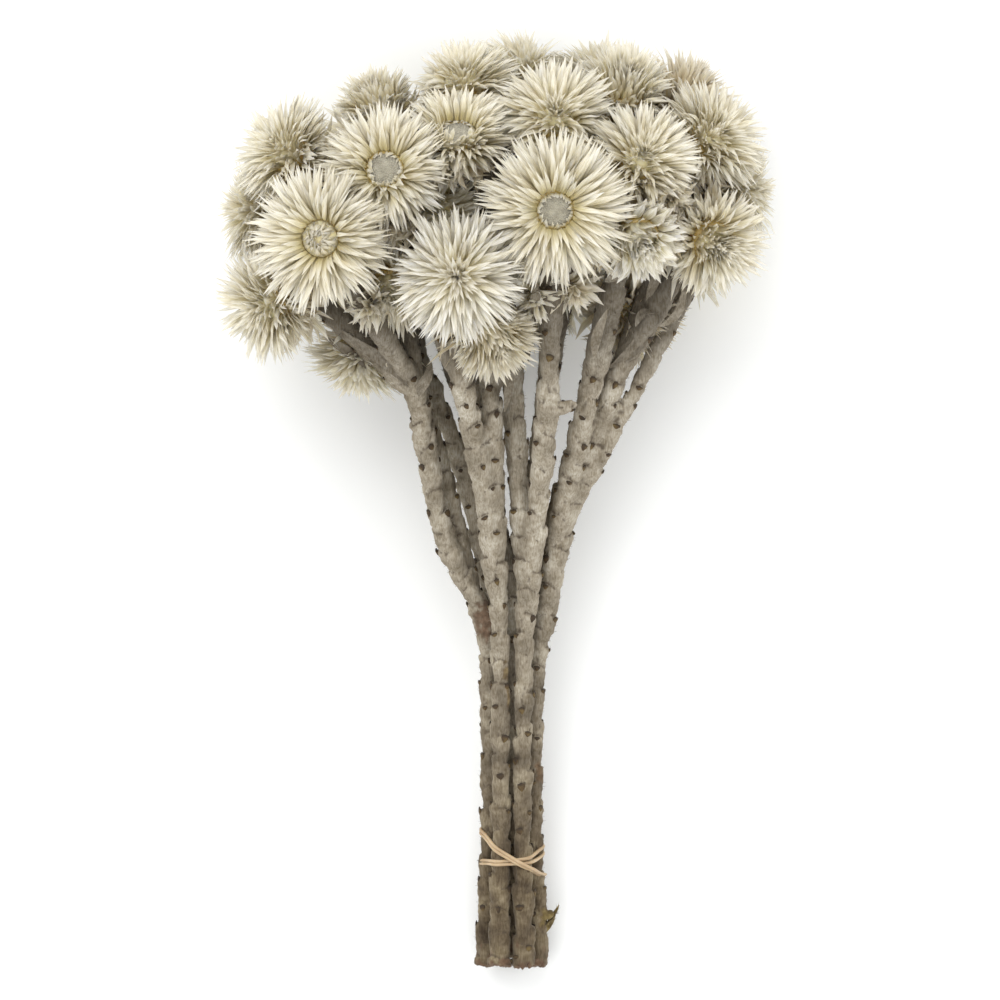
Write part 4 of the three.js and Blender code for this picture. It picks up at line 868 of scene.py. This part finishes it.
blades = bladeTree()
florets = floretTree()
dressedBlooms = []
for number, (name, bloom) in enumerate(blooms.items()):
    rng = np.random.default_rng(seeds["bloom"] + number)
    lines = spineMesh(name + "Lines", bloomSpines(name, rng))
    bracts = grown(lines, name + "Bracts", blades, {"Material": paper})
    if bloom["centre"] == "disc":
        pad = grown(turnedMesh(name + "Pad", disc["outline"], cup["sides"]), name + "Disc", florets, {
            "Count": disc["florets"], "Radius": disc["radius"] * metre, "Floret Width": disc["width"] * metre,
            "Floret Height": disc["height"] * metre, "Seed": number, "Material": felt})
    else:
        height = core["heights"][bloom["centre"]]
        outline = [(out * core["radius"], up * height) for out, up in core["outline"]]
        pad = turnedMesh(name + "Core", outline, cup["sides"])
        pad.materials.append(paper)
        # the core's gold is partly painted glow, as at the bracts' roots
        golden = core["gold"] * (1 - bloom["grey"])
        storeNumbers(pad, "along", np.full(len(pad.vertices), core["along"]))
        storeNumbers(pad, "gold", np.full(len(pad.vertices), golden))
    under = turnedMesh(name + "Cup", cup["outline"], cup["sides"])
    under.materials.append(paper)
    turn = Matrix((bloom["side"], bloom["across"], bloom["facing"])).transposed().to_4x4()
    for part in (pad, under):
        part.transform(Matrix.Translation(Vector(bloom["at"]) * metre) @ turn)
    piece = joined("strawflower" + name[-3:], [bracts, pad, under])
    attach(piece, "root")
    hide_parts(name)
    dressedBlooms.append(piece)
print("blooms:", sum(len(piece.data.polygons) for piece in dressedBlooms), "faces")


# stems: each CAD stem is smoothed, covered with leaf bases, felted over and given its wool

# core: how far the surface sinks before the wool goes on. tuft: waves of the wool.
# shade: under the head the wool is thicker, with longer fibres and painted shade. flare: how the stems splay
# at the foot.
stemPlan = {
    "nodes": ("stem_left", "stem_front_left", "stem_front_right", "stem_right", "stem_middle",
              "stem_under_left", "stem_under_right"),
    "weld": 0.01, "roughVoxel": 0.85, "fineVoxel": 0.55, "core": -0.72, "faces": 32000, "lowest": 0.05,
    "leafBase": {"apart": 3.6, "length": 11.5, "halfAngle": 1.45, "rise": 1.4, "before": 3,
                 "startUneven": 0.7, "turnUneven": 0.16, "lengths": (0.8, 1.15), "rises": (0.6, 1.15),
                 "bluntFrom": 0.8, "bluntOver": 0.2, "widths": (0.55, 0.45), "widens": 2,
                 "heights": (0.12, 0.88), "crest": 1.9, "lowerInShade": 0.6},
    "scar": {"share": 0.72, "width": 3.9, "length": 3.0, "height": 0.9, "setBack": 0.9, "turnWeight": 3,
             "tries": 60, "near": 0.9, "apart": 5},
    "shade": {"from": 38, "to": 62, "most": 0.85}, "underHead": 1.2, "flare": {"out": 0.8, "reach": 45},
    "cut": {"depth": 3, "longer": 2.6, "below": 0.9, "uneven": 1.4, "splinter": 2.2, "ragged": 0.55,
            "edge": 0.5, "sharpness": 2},
    "tuft": {"size": 2.6, "depth": 0.1},
    "crevice": {"depth": 0.16, "from": 0.75, "most": 0.8},
    "foot": {"from": -20, "over": 110, "end": 1.5},
    "stain": {"size": 5, "reach": 5, "sharpness": 2, "most": 0.9},
    "patch": {"unevenSize": 3, "uneven": 0.25, "edge": 1.15, "sharpness": 4, "most": 0.85},
    "fibres": 3000, "fibreLength": 1.1, "fibreWidth": 0.12,
}
footY = cadBox[0][1] / metre

# rounds of smoothing and the share of each
smoothing = {"rough": (6, 0.5), "fine": (2, 0.5), "way": (4, 0.6), "fineWay": (6, 0.5), "reach": (8, 0.5),
             "crevice": (8, 0.6)}

# bare patches: middle and half size, seen from above, and how olive the bark is
barePatches = {
    "stem_left": (((-3.2, -43), (4.2, 7), 0),),
    "stem_front_left": (((3.4, -62.5), (1.1, 3.6), 0.7), ((4.6, -73), (0.8, 4.5), 0.7)),
    "stem_right": (((15.4, -99), (1.3, 3.2), 0.2), ((19.5, -152), (3.2, 3.5), 1)),
}


def remeshed(mesh, name, voxel):
    return reshaped(mesh, name, "REMESH", {
        "mode": "VOXEL", "voxel_size": voxel * metre, "use_smooth_shade": True})


def edgesOf(mesh):
    pairs = np.zeros(len(mesh.edges) * 2, np.int64)
    mesh.edges.foreach_get("vertices", pairs)
    return pairs.reshape(-1, 2)


def relaxed(points, edges, rounds, share):
    degree = np.bincount(edges.ravel(), minlength=len(points))[:, None].clip(1)
    for turn in range(rounds):
        total = np.zeros_like(points)
        for axis in range(3):
            total[:, axis] = np.bincount(edges[:, 0], points[edges[:, 1], axis], len(points))
            total[:, axis] += np.bincount(edges[:, 1], points[edges[:, 0], axis], len(points))
        points = points + (total / degree - points) * share
    return points


def normalsOf(mesh):
    flat = np.zeros(len(mesh.vertices) * 3)
    mesh.vertex_normals.foreach_get("vector", flat)
    return flat.reshape(-1, 3)


def distanceFromFoot(points, edges):
    # how far each point of the surface is from the cut end, along the stem
    lengths = np.linalg.norm(points[edges[:, 0]] - points[edges[:, 1]], axis=1)
    near = [[] for point in points]
    for (one, two), length in zip(edges.tolist(), lengths.tolist()):
        near[one].append((two, length))
        near[two].append((one, length))
    reach = np.full(len(points), np.inf)
    starts = np.nonzero(points[:, 1] < points[:, 1].min() + stemPlan["foot"]["end"])[0]
    reach[starts] = 0
    waiting = [(0.0, int(i)) for i in starts]
    heapq.heapify(waiting)
    while waiting:
        gone, i = heapq.heappop(waiting)
        if gone > reach[i]:
            continue
        for other, length in near[i]:
            if gone + length < reach[other]:
                reach[other] = gone + length
                heapq.heappush(waiting, (gone + length, other))
    reach[np.isinf(reach)] = 0
    return reach


def growingWay(points, edges, reach):
    # the direction in which the stem grows at each point of its surface
    step = points[edges[:, 1]] - points[edges[:, 0]]
    gain = (reach[edges[:, 1]] - reach[edges[:, 0]])[:, None] * step
    way = np.zeros_like(points)
    for axis in range(3):
        way[:, axis] = np.bincount(edges.ravel("F"), np.tile(gain[:, axis], 2), len(points))
    return unit(relaxed(unit(way), edges, *smoothing["way"]))


def leafBasePlaces(total, rng):
    # leaf bases climb a stem in a spiral: where each begins, its turn, length and rise
    base = stemPlan["leafBase"]
    count = int(total / base["apart"]) + 1 + base["before"]
    order = np.arange(count)
    return {"start": (order - base["before"]) * base["apart"] + rng.normal(0, base["startUneven"], count),
            "turn": order * goldenAngle + rng.normal(0, base["turnUneven"], count),
            "length": base["length"] * rng.uniform(*base["lengths"], count),
            "rise": base["rise"] * rng.uniform(*base["rises"], count)}


def leafBaseHeight(reach, turn, places):
    # each leaf base is a tongue that thickens along the stem, with a blunt rounded end that stands in a step
    base = stemPlan["leafBase"]
    height = np.zeros(len(reach))
    for start, middle, length, rise in zip(*places.values()):
        near = np.nonzero((reach > start) & (reach < start + length))[0]
        share = (reach[near] - start) / length
        aside = np.abs((turn[near] - middle + np.pi) % (2 * np.pi) - np.pi)
        blunt = np.sqrt((1 - ((share - base["bluntFrom"]) / base["bluntOver"]).clip(0, 1) ** 2).clip(0, 1))
        width = base["halfAngle"] * sloped(base["widths"], (share * base["widens"]).clip(0, 1)) * blunt
        crown = np.sqrt((1 - (aside / width.clip(0.01, None)) ** 2).clip(0, 1))
        swell = rise * sloped(base["heights"], np.sin(share * base["crest"]).clip(0, 1))
        height[near] = np.maximum(height[near], swell * crown * blunt ** 0.5)
    return height


def turnAbout(normals, way):
    # the angle round the stem at which each point of its surface looks out
    level = unit(np.cross(way, (0, 0, 1.0)))
    return np.arctan2((normals * np.cross(level, way)).sum(1), (normals * level).sum(1))


def scarTree():
    # torn scars: a small wedge on each given point, widest towards the way the stem grows
    tree, given, result = geometryTree("scarsOnLeafBases", {
        "Width": ("Float", 0.0023), "Length": ("Float", 0.0013), "Height": ("Float", 0.0006),
        "Seed": ("Int", 0), "Material": ("Material", None)})
    points = addNode(tree, "GeometryNodeMeshToPoints", links={"Mesh": given.outputs["Geometry"]})
    way = addNode(tree, "GeometryNodeInputNamedAttribute", {"data_type": "FLOAT_VECTOR", "Name": "way"})
    out = addNode(tree, "GeometryNodeInputNamedAttribute", {"data_type": "FLOAT_VECTOR", "Name": "out"})
    turned = addNode(tree, "FunctionNodeAxesToRotation", {"primary_axis": "Z", "secondary_axis": "Y"},
                     {"Primary Axis": out.outputs["Attribute"], "Secondary Axis": way.outputs["Attribute"]})
    pebble = addNode(tree, "GeometryNodeMeshUVSphere", {"Segments": 8, "Rings": 5, "Radius": 0.5})
    place = addNode(tree, "GeometryNodeInputPosition")
    parts = addNode(tree, "ShaderNodeSeparateXYZ", links={0: place.outputs[0]})
    upper = addNode(tree, "ShaderNodeMapRange", {1: 0.05, 2: 0.4, 3: 0.0, 4: 1.0}, {0: parts.outputs["Y"]})
    marked = addNode(tree, "GeometryNodeStoreNamedAttribute",
                     {"data_type": "FLOAT", "domain": "POINT", "Name": "lip"},
                     {"Geometry": pebble.outputs["Mesh"], "Value": upper.outputs[0]})
    wedge = addNode(tree, "ShaderNodeMapRange", {1: -0.5, 2: 0.3, 3: 0.25, 4: 1.0}, {0: parts.outputs["Y"]})
    narrow = addNode(tree, "ShaderNodeMath", {"operation": "MULTIPLY"},
                     {0: parts.outputs["X"], 1: wedge.outputs[0]})
    x, y, z = [
        addNode(tree, "ShaderNodeMath", {"operation": "MULTIPLY"}, {0: source, 1: given.outputs[size]})
        for source, size in ((narrow.outputs[0], "Width"), (parts.outputs["Y"], "Length"),
                             (parts.outputs["Z"], "Height"))]
    goal = addNode(tree, "ShaderNodeCombineXYZ",
                   links={"X": x.outputs[0], "Y": y.outputs[0], "Z": z.outputs[0]})
    shape = addNode(tree, "GeometryNodeSetPosition",
                    links={"Geometry": marked.outputs["Geometry"], "Position": goal.outputs[0]})
    size = addNode(tree, "FunctionNodeRandomValue",
                   {"data_type": "FLOAT_VECTOR", 0: (0.55, 0.5, 0.8), 1: (1.1, 1.2, 1.1)},
                   {"Seed": given.outputs["Seed"]})
    copies = addNode(tree, "GeometryNodeInstanceOnPoints",
                     links={"Points": points.outputs["Points"], "Instance": shape.outputs["Geometry"],
                            "Rotation": turned.outputs[0], "Scale": size.outputs[0]})
    return endTree(tree, copies.outputs["Instances"], given, result)


def scarPoints(name, grain, places, rng):
    # the points at the ends of the leaf bases, on every branch that a leaf base's height crosses
    size = stemPlan["scar"]
    surface = grain["surface"]
    found = []
    for start, middle, length, rise in zip(*places.values()):
        if rng.random() > size["share"]:
            continue
        aside = np.abs((grain["turn"] - middle + np.pi) % (2 * np.pi) - np.pi)
        miss = np.abs(grain["reach"] - start - length + size["setBack"]) + size["turnWeight"] * aside
        for i in np.argsort(miss)[:size["tries"]]:
            clear = all(np.linalg.norm(surface[i] - surface[j]) > size["apart"] for j in found)
            if miss[i] < size["near"] and clear:
                found.append(i)
    mesh = bpy.data.meshes.new(name)
    mesh.from_pydata((surface[found] * metre).tolist(), [], [])
    storeNumbers(mesh, "way", grain["way"][found])
    storeNumbers(mesh, "out", grain["normals"][found])
    return mesh


def fibreTree():
    # short woolly fibres, most of them lying along the stem
    tree, given, result = geometryTree("woolOnStem", {
        "Density": ("Float", 100000.0), "Fibre Length": ("Float", 0.0015), "Fibre Width": ("Float", 0.00016),
        "Seed": ("Int", 0), "Material": ("Material", None)})
    scattered = addNode(tree, "GeometryNodeDistributePointsOnFaces", {"distribute_method": "RANDOM"},
                        {"Mesh": given.outputs["Geometry"], "Density": given.outputs["Density"],
                         "Seed": given.outputs["Seed"]})
    way = addNode(tree, "GeometryNodeInputNamedAttribute", {"data_type": "FLOAT_VECTOR", "Name": "way"})
    loose = addNode(tree, "FunctionNodeRandomValue",
                    {"data_type": "FLOAT_VECTOR", 0: (-0.9, -0.9, -0.9), 1: (0.9, 0.9, 0.9)},
                    {"Seed": given.outputs["Seed"]})
    leaning = addNode(tree, "ShaderNodeVectorMath", {"operation": "ADD"},
                      {0: way.outputs["Attribute"], 1: loose.outputs[0]})
    heading = addNode(tree, "ShaderNodeVectorMath", {"operation": "ADD"},
                      {0: leaning.outputs[0], 1: scattered.outputs["Normal"]})
    turned = addNode(tree, "FunctionNodeAlignRotationToVector", {"axis": "Z"}, {"Vector": heading.outputs[0]})
    halfWidth = addNode(tree, "ShaderNodeMath", {"operation": "MULTIPLY", 1: 0.5},
                        {0: given.outputs["Fibre Width"]})
    fibre = addNode(tree, "GeometryNodeMeshCone", {"Vertices": 3, "Radius Top": 0.0},
                    {"Radius Bottom": halfWidth.outputs[0], "Depth": given.outputs["Fibre Length"]})
    size = addNode(tree, "FunctionNodeRandomValue", {"data_type": "FLOAT", 2: 0.5, 3: 1.5},
                   {"Seed": given.outputs["Seed"]})
    shade = addNode(tree, "GeometryNodeInputNamedAttribute", {"data_type": "FLOAT", "Name": "shade"})
    longer = addNode(tree, "ShaderNodeMapRange", {1: 0.0, 2: 1.0, 3: 1.0, 4: 1.6},
                     {0: shade.outputs["Attribute"]})
    sized = addNode(tree, "ShaderNodeMath", {"operation": "MULTIPLY"},
                    {0: size.outputs[1], 1: longer.outputs[0]})
    copies = addNode(tree, "GeometryNodeInstanceOnPoints",
                     links={"Points": scattered.outputs["Points"], "Instance": fibre.outputs["Mesh"],
                            "Rotation": turned.outputs[0], "Scale": sized.outputs[0]})
    both = addNode(tree, "GeometryNodeJoinGeometry", links={0: copies.outputs["Instances"]})
    tree.links.new(given.outputs["Geometry"], both.inputs[0])
    return endTree(tree, both.outputs[0], given, result)


# withered leaves: each CAD leaf is folded back into its stem, and a thin curled one takes its place
witheredLeaf = {
    "steps": 10, "width": 3.9, "edgeLift": 0.34, "keel": 0.2, "thickness": 0.42, "fibres": 160,
    "leastEdge": 7, "cornerShare": 0.55, "keptAbove": 30, "sideGuide": (0.2, 0.1, 1),
    "curl": 3, "curls": (0.3, 1), "curlTurn": 2.6, "sway": 1.2, "swayTurns": (2, 4.5), "twists": (0.5, 1.1),
    "shades": (0.35, 0.75), "shares": (0, 0.12, 0.3, 0.55, 0.85, 1),
    "widths": (0.1, 0.5, 0.85, 1, 0.55, 0.05),
}

# more leaves where the limbs reach the head, and a broken shoot at the foot: root, tip, width
shownLeaves = {
    "stem_left": (((-31, 40, 66), (-56, 61, 68), 4.5), ((-28, 37, 68), (-24, 50, 72), 5)),
    "stem_right": (((40, 47, 62), (59.5, 63, 62), 4.8), ((50, 62, 68), (58, 67, 66), 3.5),
                   ((39, 78, 84), (48, 84, 92), 4.5)),
}
brokenShoot = {"stem_right": ((15.5, -159, 12.5), (22.6, -147.2, 14), 3.4)}


def leavesOf(merged):
    # a CAD leaf ends in a corner of three long edges: gives its root, its tip and its width
    found = []
    for corner in list(merged.verts):
        edges = corner.link_edges
        if len(edges) != 3 or min(edge.calc_length() for edge in edges) < witheredLeaf["leastEdge"] * metre:
            continue
        middle = [edge.other_vert(corner) for edge in edges]
        centre = (middle[0].co + middle[1].co + middle[2].co) / 3
        root = corner.co + (centre - corner.co) / witheredLeaf["cornerShare"]
        if root.y > witheredLeaf["keptAbove"] * metre:
            found.append((np.array(root) / metre, np.array(corner.co) / metre, witheredLeaf["width"]))
        for folded in (corner, *middle):
            folded.co = root
    return found


def leafMesh(name, leaves, rng, fibres, number, bare=0):
    # bare is 1 for a shoot of bark without wool, which is straighter
    form = witheredLeaf
    points, edges, values = [], [], {"wide": [], "flat": [], "way": [], "shade": [], "worn": [], "green": []}
    steps = form["steps"]
    share = np.linspace(0, 1, steps)
    for root, tip, width in leaves:
        root, tip = np.array(root, float), np.array(tip, float)
        along = tip - root
        aside = unit(np.cross(along, form["sideGuide"]))
        up = unit(np.cross(aside, along))
        curl = rng.uniform(*form["curls"], 1) * form["curl"] * (1 - bare)
        line = root + along * share[:, None] + up * (np.sin(share * form["curlTurn"]) * curl)[:, None]
        sway = np.sin(share * rng.uniform(*form["swayTurns"])) * rng.normal(0, form["sway"] - bare)
        line += aside * sway[:, None]
        twist = rng.normal(0, form["twists"][0]) + rng.normal(0, form["twists"][1]) * share
        flat = up * np.cos(twist)[:, None] + aside * np.sin(twist)[:, None]
        edges += [(len(points) + k, len(points) + k + 1) for k in range(steps - 1)]
        points += line.tolist()
        values["wide"] += (width * np.interp(share, form["shares"], form["widths"]) * metre).tolist()
        values["flat"] += flat.tolist()
        values["way"] += np.gradient(line, axis=0).tolist()
        # each leaf gets its own share of painted shade, and the bare shoot gets none
        values["shade"] += np.full(steps, rng.uniform(*form["shades"]) * (1 - bare)).tolist()
        values["worn"] += np.full(steps, bare).tolist()
        values["green"] += np.full(steps, bare).tolist()
    lines = bpy.data.meshes.new(name)
    lines.from_pydata((np.array(points) * metre).tolist(), edges, [])
    for label, numbers in values.items():
        storeNumbers(lines, label, numbers)
    smooth = grown(lines, name + "Blades", blades, {
        "Edge Lift": form["edgeLift"], "Keel": form["keel"], "Thickness": form["thickness"],
        "Material": wool})
    return withWool(smooth, name + "Felted", number, form["fibres"] * len(leaves), fibres)


def withWool(mesh, name, number, count, fibres):
    # about count fibres, spread evenly over the mesh
    area = sum(face.area for face in mesh.polygons)
    return grown(mesh, name, fibres, {
        "Density": count / area, "Fibre Length": stemPlan["fibreLength"] * metre,
        "Fibre Width": stemPlan["fibreWidth"] * metre, "Seed": number, "Material": wool})


def longerSource(name):
    # the CAD stem without its leaves, and drawn out a little at its foot; gives its leaves too
    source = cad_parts[name].data.copy()
    merged = bmesh.new()
    merged.from_mesh(source)
    bmesh.ops.remove_doubles(merged, verts=merged.verts, dist=stemPlan["weld"] * metre)
    leaves = leavesOf(merged)
    for corner in merged.verts:
        if corner.co.y < (footY + stemPlan["cut"]["depth"]) * metre:
            corner.co.y -= stemPlan["cut"]["longer"] * metre
    merged.to_mesh(source)
    merged.free()
    return source, leaves


def fineSurface(source, name):
    # a smooth fine mesh of the stem, and its grain: where each point is and how it looks out, the way the stem
    # grows there, how far it is from the foot, its turn round the stem and how much the head shades it
    rough = remeshed(source, name + "Rough", stemPlan["roughVoxel"])
    edges = edgesOf(rough)
    points = relaxed(pointsOf(rough) / metre, edges, *smoothing["rough"])
    storePoints(rough, points * metre)
    reach = distanceFromFoot(points, edges)
    way = growingWay(points, edges, reach)
    own = kdtree.KDTree(len(points))
    for i, point in enumerate(points):
        own.insert(point, i)
    own.balance()
    fine = remeshed(rough, name + "Fine", stemPlan["fineVoxel"])
    edges = edgesOf(fine)
    surface = relaxed(pointsOf(fine) / metre, edges, *smoothing["fine"])
    storePoints(fine, surface * metre)
    nearest = [own.find(point)[1] for point in surface]
    way = unit(relaxed(way[nearest], edges, *smoothing["fineWay"]))
    reach = relaxed(np.repeat(reach[nearest][:, None], 3, 1), edges, *smoothing["reach"])[:, 0]
    normals = normalsOf(fine)
    under = stemPlan["shade"]
    shade = ((surface[:, 1] - under["from"]) / (under["to"] - under["from"])).clip(0, 1)
    return fine, {"surface": surface, "edges": edges, "normals": normals, "way": way, "reach": reach,
                  "turn": turnAbout(normals, way), "shade": shade}


def felted(fine, name, number, grain, rng):
    # raises the leaf bases and the wool on the fine mesh and cuts its foot off; gives the points of its scars
    cut, flare = stemPlan["cut"], stemPlan["flare"]
    surface, shade, normals = grain["surface"], grain["shade"], grain["normals"]
    places = leafBasePlaces(grain["reach"].max(), rng)
    height = leafBaseHeight(grain["reach"], grain["turn"], places)
    height = height * (1 - stemPlan["leafBase"]["lowerInShade"] * shade)
    tufts = smoothNoise(surface, stemPlan["tuft"]["size"], number) * stemPlan["tuft"]["depth"]
    # the wool is thick under the head, and the stems splay a little at the foot
    splay = flare["out"] * ((footY + flare["reach"] - surface[:, 1]) / flare["reach"]).clip(0, 1)
    thick = stemPlan["core"] + stemPlan["underHead"] * shade + splay
    surface = surface + normals * (thick + height + tufts)[:, None]
    surface[:, 2] = surface[:, 2].clip(stemPlan["lowest"], None)
    ragged = smoothNoise(surface * (1, 0, 1), cut["splinter"], seeds["cut"] + number) * cut["ragged"]
    ends = footY - cut["below"] + rng.uniform(0, cut["uneven"]) + ragged
    cutFace = ((ends + cut["edge"] - surface[:, 1]) * cut["sharpness"]).clip(0, 1)
    surface[:, 1] = np.maximum(surface[:, 1], ends)
    storePoints(fine, surface * metre)
    storeNumbers(fine, "cut", cutFace)
    # painted shade in the hollows: how far each point lies below its smoothed surroundings
    crevice = stemPlan["crevice"]
    hollow = ((relaxed(surface, grain["edges"], *smoothing["crevice"]) - surface) * normals).sum(1)
    storeNumbers(fine, "crevice", (hollow / crevice["depth"] - crevice["from"]).clip(0, crevice["most"]))
    storeNumbers(fine, "way", grain["way"])
    # how much painted shade the head casts here; the same share also makes the fibres longer
    storeNumbers(fine, "shade", shade * stemPlan["shade"]["most"])
    return scarPoints(name + "ScarPoints", {**grain, "surface": surface}, places, rng)


def storeWear(mesh, name, number):
    # how brown the stem is towards its foot, and where its bark shows: at its cut, in stains and in patches
    foot, stain, patch = stemPlan["foot"], stemPlan["stain"], stemPlan["patch"]
    surface = pointsOf(mesh) / metre
    storeNumbers(mesh, "foot", ((foot["from"] - surface[:, 1]) / foot["over"]).clip(0, 1))
    stained = smoothNoise(surface, stain["size"], seeds["stain"] + number)
    stained = stained - (surface[:, 1] - footY) / stain["reach"]
    worn = np.maximum(numbersOf(mesh, "cut"), (stained * stain["sharpness"]).clip(0, stain["most"]))
    uneven = smoothNoise(surface, patch["unevenSize"], seeds["patch"] + number) * patch["uneven"]
    green = np.zeros(len(surface))
    for middle, half, olive in barePatches.get(name, ()):
        away = np.hypot(*((surface[:, :2] - middle) / half).T) + uneven
        bare = ((patch["edge"] - away) * patch["sharpness"]).clip(0, patch["most"])
        worn = np.maximum(worn, bare)
        green = np.maximum(green, olive * (bare > 0))
    storeNumbers(mesh, "worn", worn)
    storeNumbers(mesh, "green", green)


def dressedStem(name, number, scarring, fibres):
    rng = np.random.default_rng(seeds["stem"] + number)
    source, leaves = longerSource(name)
    fine, grain = fineSurface(source, name)
    marks = felted(fine, name, number, grain, rng)
    # the leaf bases were raised on a fine surface, which is now thinned where it is plain
    ratio = min(1, stemPlan["faces"] / (2 * len(fine.polygons)))
    thin = reshaped(fine, name + "Thin", "DECIMATE", {"ratio": ratio})
    storeWear(thin, name, number)
    made = withWool(thin, name + "Wool", number, stemPlan["fibres"], fibres)
    size = stemPlan["scar"]
    scars = grown(marks, name + "Scars", scarring, {
        "Width": size["width"] * metre, "Length": size["length"] * metre, "Height": size["height"] * metre,
        "Seed": number, "Material": scar})
    leaves += shownLeaves.get(name, ())
    withered = [leafMesh(name + "Leaves", leaves, rng, fibres, number)] if leaves else []
    if name in brokenShoot:
        withered.append(leafMesh(name + "Shoot", [brokenShoot[name]], rng, fibres, number, bare=1))
    print(name, len(leaves), "leaves,", len(marks.vertices), "scars")
    piece = joined("woolly" + name[0].upper() + name[1:], [made, scars, *withered])
    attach(piece, "root")
    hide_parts(name)
    return piece


leafScars = scarTree()
woolFibres = fibreTree()
dressedStems = [dressedStem(name, number, leafScars, woolFibres)
                for number, name in enumerate(stemPlan["nodes"])]
print("stems:", [len(piece.data.polygons) for piece in dressedStems], "faces")


# rubber band: wound twice round the bundle, each turn doubled, with one crossing in front

# along, apart, slant, crossing and bumpWidth follow the CAD model's band, and so do the bundle's stemRadius,
# pitch, tilt and foot. split: half the room between the two strands. parting: where they part more.
# twist: where they run over each other. Their turns are in radians, crossing and bumpWidth are in degrees.
bandPlan = {
    "along": 40, "apart": 7.5, "slant": -3, "crossing": 80, "bumpWidth": 34, "rise": 1.1,
    "stemRadius": 2.75, "pitch": 7.95, "bundleX": 5.6, "tilt": 0.186, "footY": -168.2, "footZ": 10.745,
    "strand": 0.62, "split": 0.6, "steps": 300,
    "parting": {"out": 0.8, "turn": 0.25, "width": 0.8},
    "twist": {"most": 1.3, "rate": 1.5, "start": 0.6, "turn": 0.5, "width": 1.4},
    "wobble": 0.07, "wobbleSize": 9,
}
bundleWay = np.array((0, math.cos(bandPlan["tilt"]), math.sin(bandPlan["tilt"])))
bundleUp = np.array((0, -math.sin(bandPlan["tilt"]), math.cos(bandPlan["tilt"])))
bundleFoot = np.array((bandPlan["bundleX"], bandPlan["footY"], bandPlan["footZ"]))


def bundleOutside(angle):
    # from the bundle's middle to a band drawn tight: straight between two stems, and bent round each
    around, pitch = bandPlan["stemRadius"] + bandPlan["strand"], bandPlan["pitch"]
    off = np.abs(angle % (math.pi / 3) - math.pi / 6)
    fromStem = math.pi / 6 - off
    straight = (pitch * math.cos(math.pi / 6) + around) / np.cos(off)
    onStem = pitch * np.cos(fromStem) + np.sqrt(np.maximum(around ** 2 - (pitch * np.sin(fromStem)) ** 2, 0))
    leaves = math.atan2(around * 0.5, pitch + around * math.cos(math.pi / 6))
    return np.where(fromStem < leaves, onStem, straight)


def bandStrand(side):
    # the two strands lie side by side, part a little and twist over each other
    parting, twisting = bandPlan["parting"], bandPlan["twist"]
    angle = np.linspace(0, 4 * np.pi, bandPlan["steps"], endpoint=False)
    crossing, bump = math.radians(bandPlan["crossing"]), math.radians(bandPlan["bumpWidth"])
    along = bandPlan["along"] + bandPlan["apart"] * np.sin((angle - crossing) / 2)
    along = along + bandPlan["slant"] * np.cos(angle)
    lift = bandPlan["rise"] * np.exp(-((angle - crossing) / bump) ** 4)
    fromParting = (angle - 2 * np.pi - parting["turn"]) / parting["width"]
    parted = bandPlan["split"] + parting["out"] * np.exp(-fromParting ** 2)
    fromTwist = (angle - twisting["turn"]) / twisting["width"]
    twist = twisting["most"] * np.sin(angle * twisting["rate"] + twisting["start"]) * np.exp(-fromTwist ** 2)
    outward = np.cos(angle)[:, None] * np.array((1.0, 0, 0)) + np.sin(angle)[:, None] * bundleUp
    place = bundleFoot + bundleWay * along[:, None] + outward * (bundleOutside(angle) + lift)[:, None]
    place += bundleWay * (side * parted * np.cos(twist))[:, None]
    place += outward * (side * parted * np.sin(twist) + bandPlan["strand"] * np.abs(np.sin(twist)))[:, None]
    return place


def strandTree():
    # a smooth round strand along each closed line
    tree, given, result = geometryTree("latexStrands", {
        "Radius": ("Float", 0.0006), "Material": ("Material", None)})
    curve = addNode(tree, "GeometryNodeMeshToCurve", links={"Mesh": given.outputs["Geometry"]})
    section = addNode(tree, "GeometryNodeCurvePrimitiveCircle", {"Resolution": 8},
                      {"Radius": given.outputs["Radius"]})
    wide = addNode(tree, "GeometryNodeInputNamedAttribute", {"data_type": "FLOAT", "Name": "wide"})
    swept = addNode(tree, "GeometryNodeCurveToMesh",
                    links={"Curve": curve.outputs["Curve"], "Profile Curve": section.outputs["Curve"],
                           "Scale": wide.outputs["Attribute"]})
    smooth = addNode(tree, "GeometryNodeSetShadeSmooth", {"Shade Smooth": True},
                     {"Geometry": swept.outputs["Mesh"]})
    return endTree(tree, smooth.outputs["Geometry"], given, result)


strands = np.concatenate([bandStrand(side) for side in (-1, 1)])
steps = bandPlan["steps"]
bandLines = bpy.data.meshes.new("bandLines")
closed = [(k * steps + i, k * steps + (i + 1) % steps) for k in (0, 1) for i in range(steps)]
bandLines.from_pydata((strands * metre).tolist(), closed, [])
wobble = 1 + bandPlan["wobble"] * smoothNoise(strands, bandPlan["wobbleSize"], seeds["band"])
storeNumbers(bandLines, "wide", wobble)
bandMesh = grown(bandLines, "latexBand", strandTree(), {
    "Radius": bandPlan["strand"] * metre, "Material": latex})
bandPiece = bpy.data.objects.new("latexBand", bandMesh)
bpy.context.scene.collection.objects.link(bandPiece)
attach(bandPiece, "root")
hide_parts("rubber_band")
print("rubber band:", len(bandMesh.polygons), "faces")
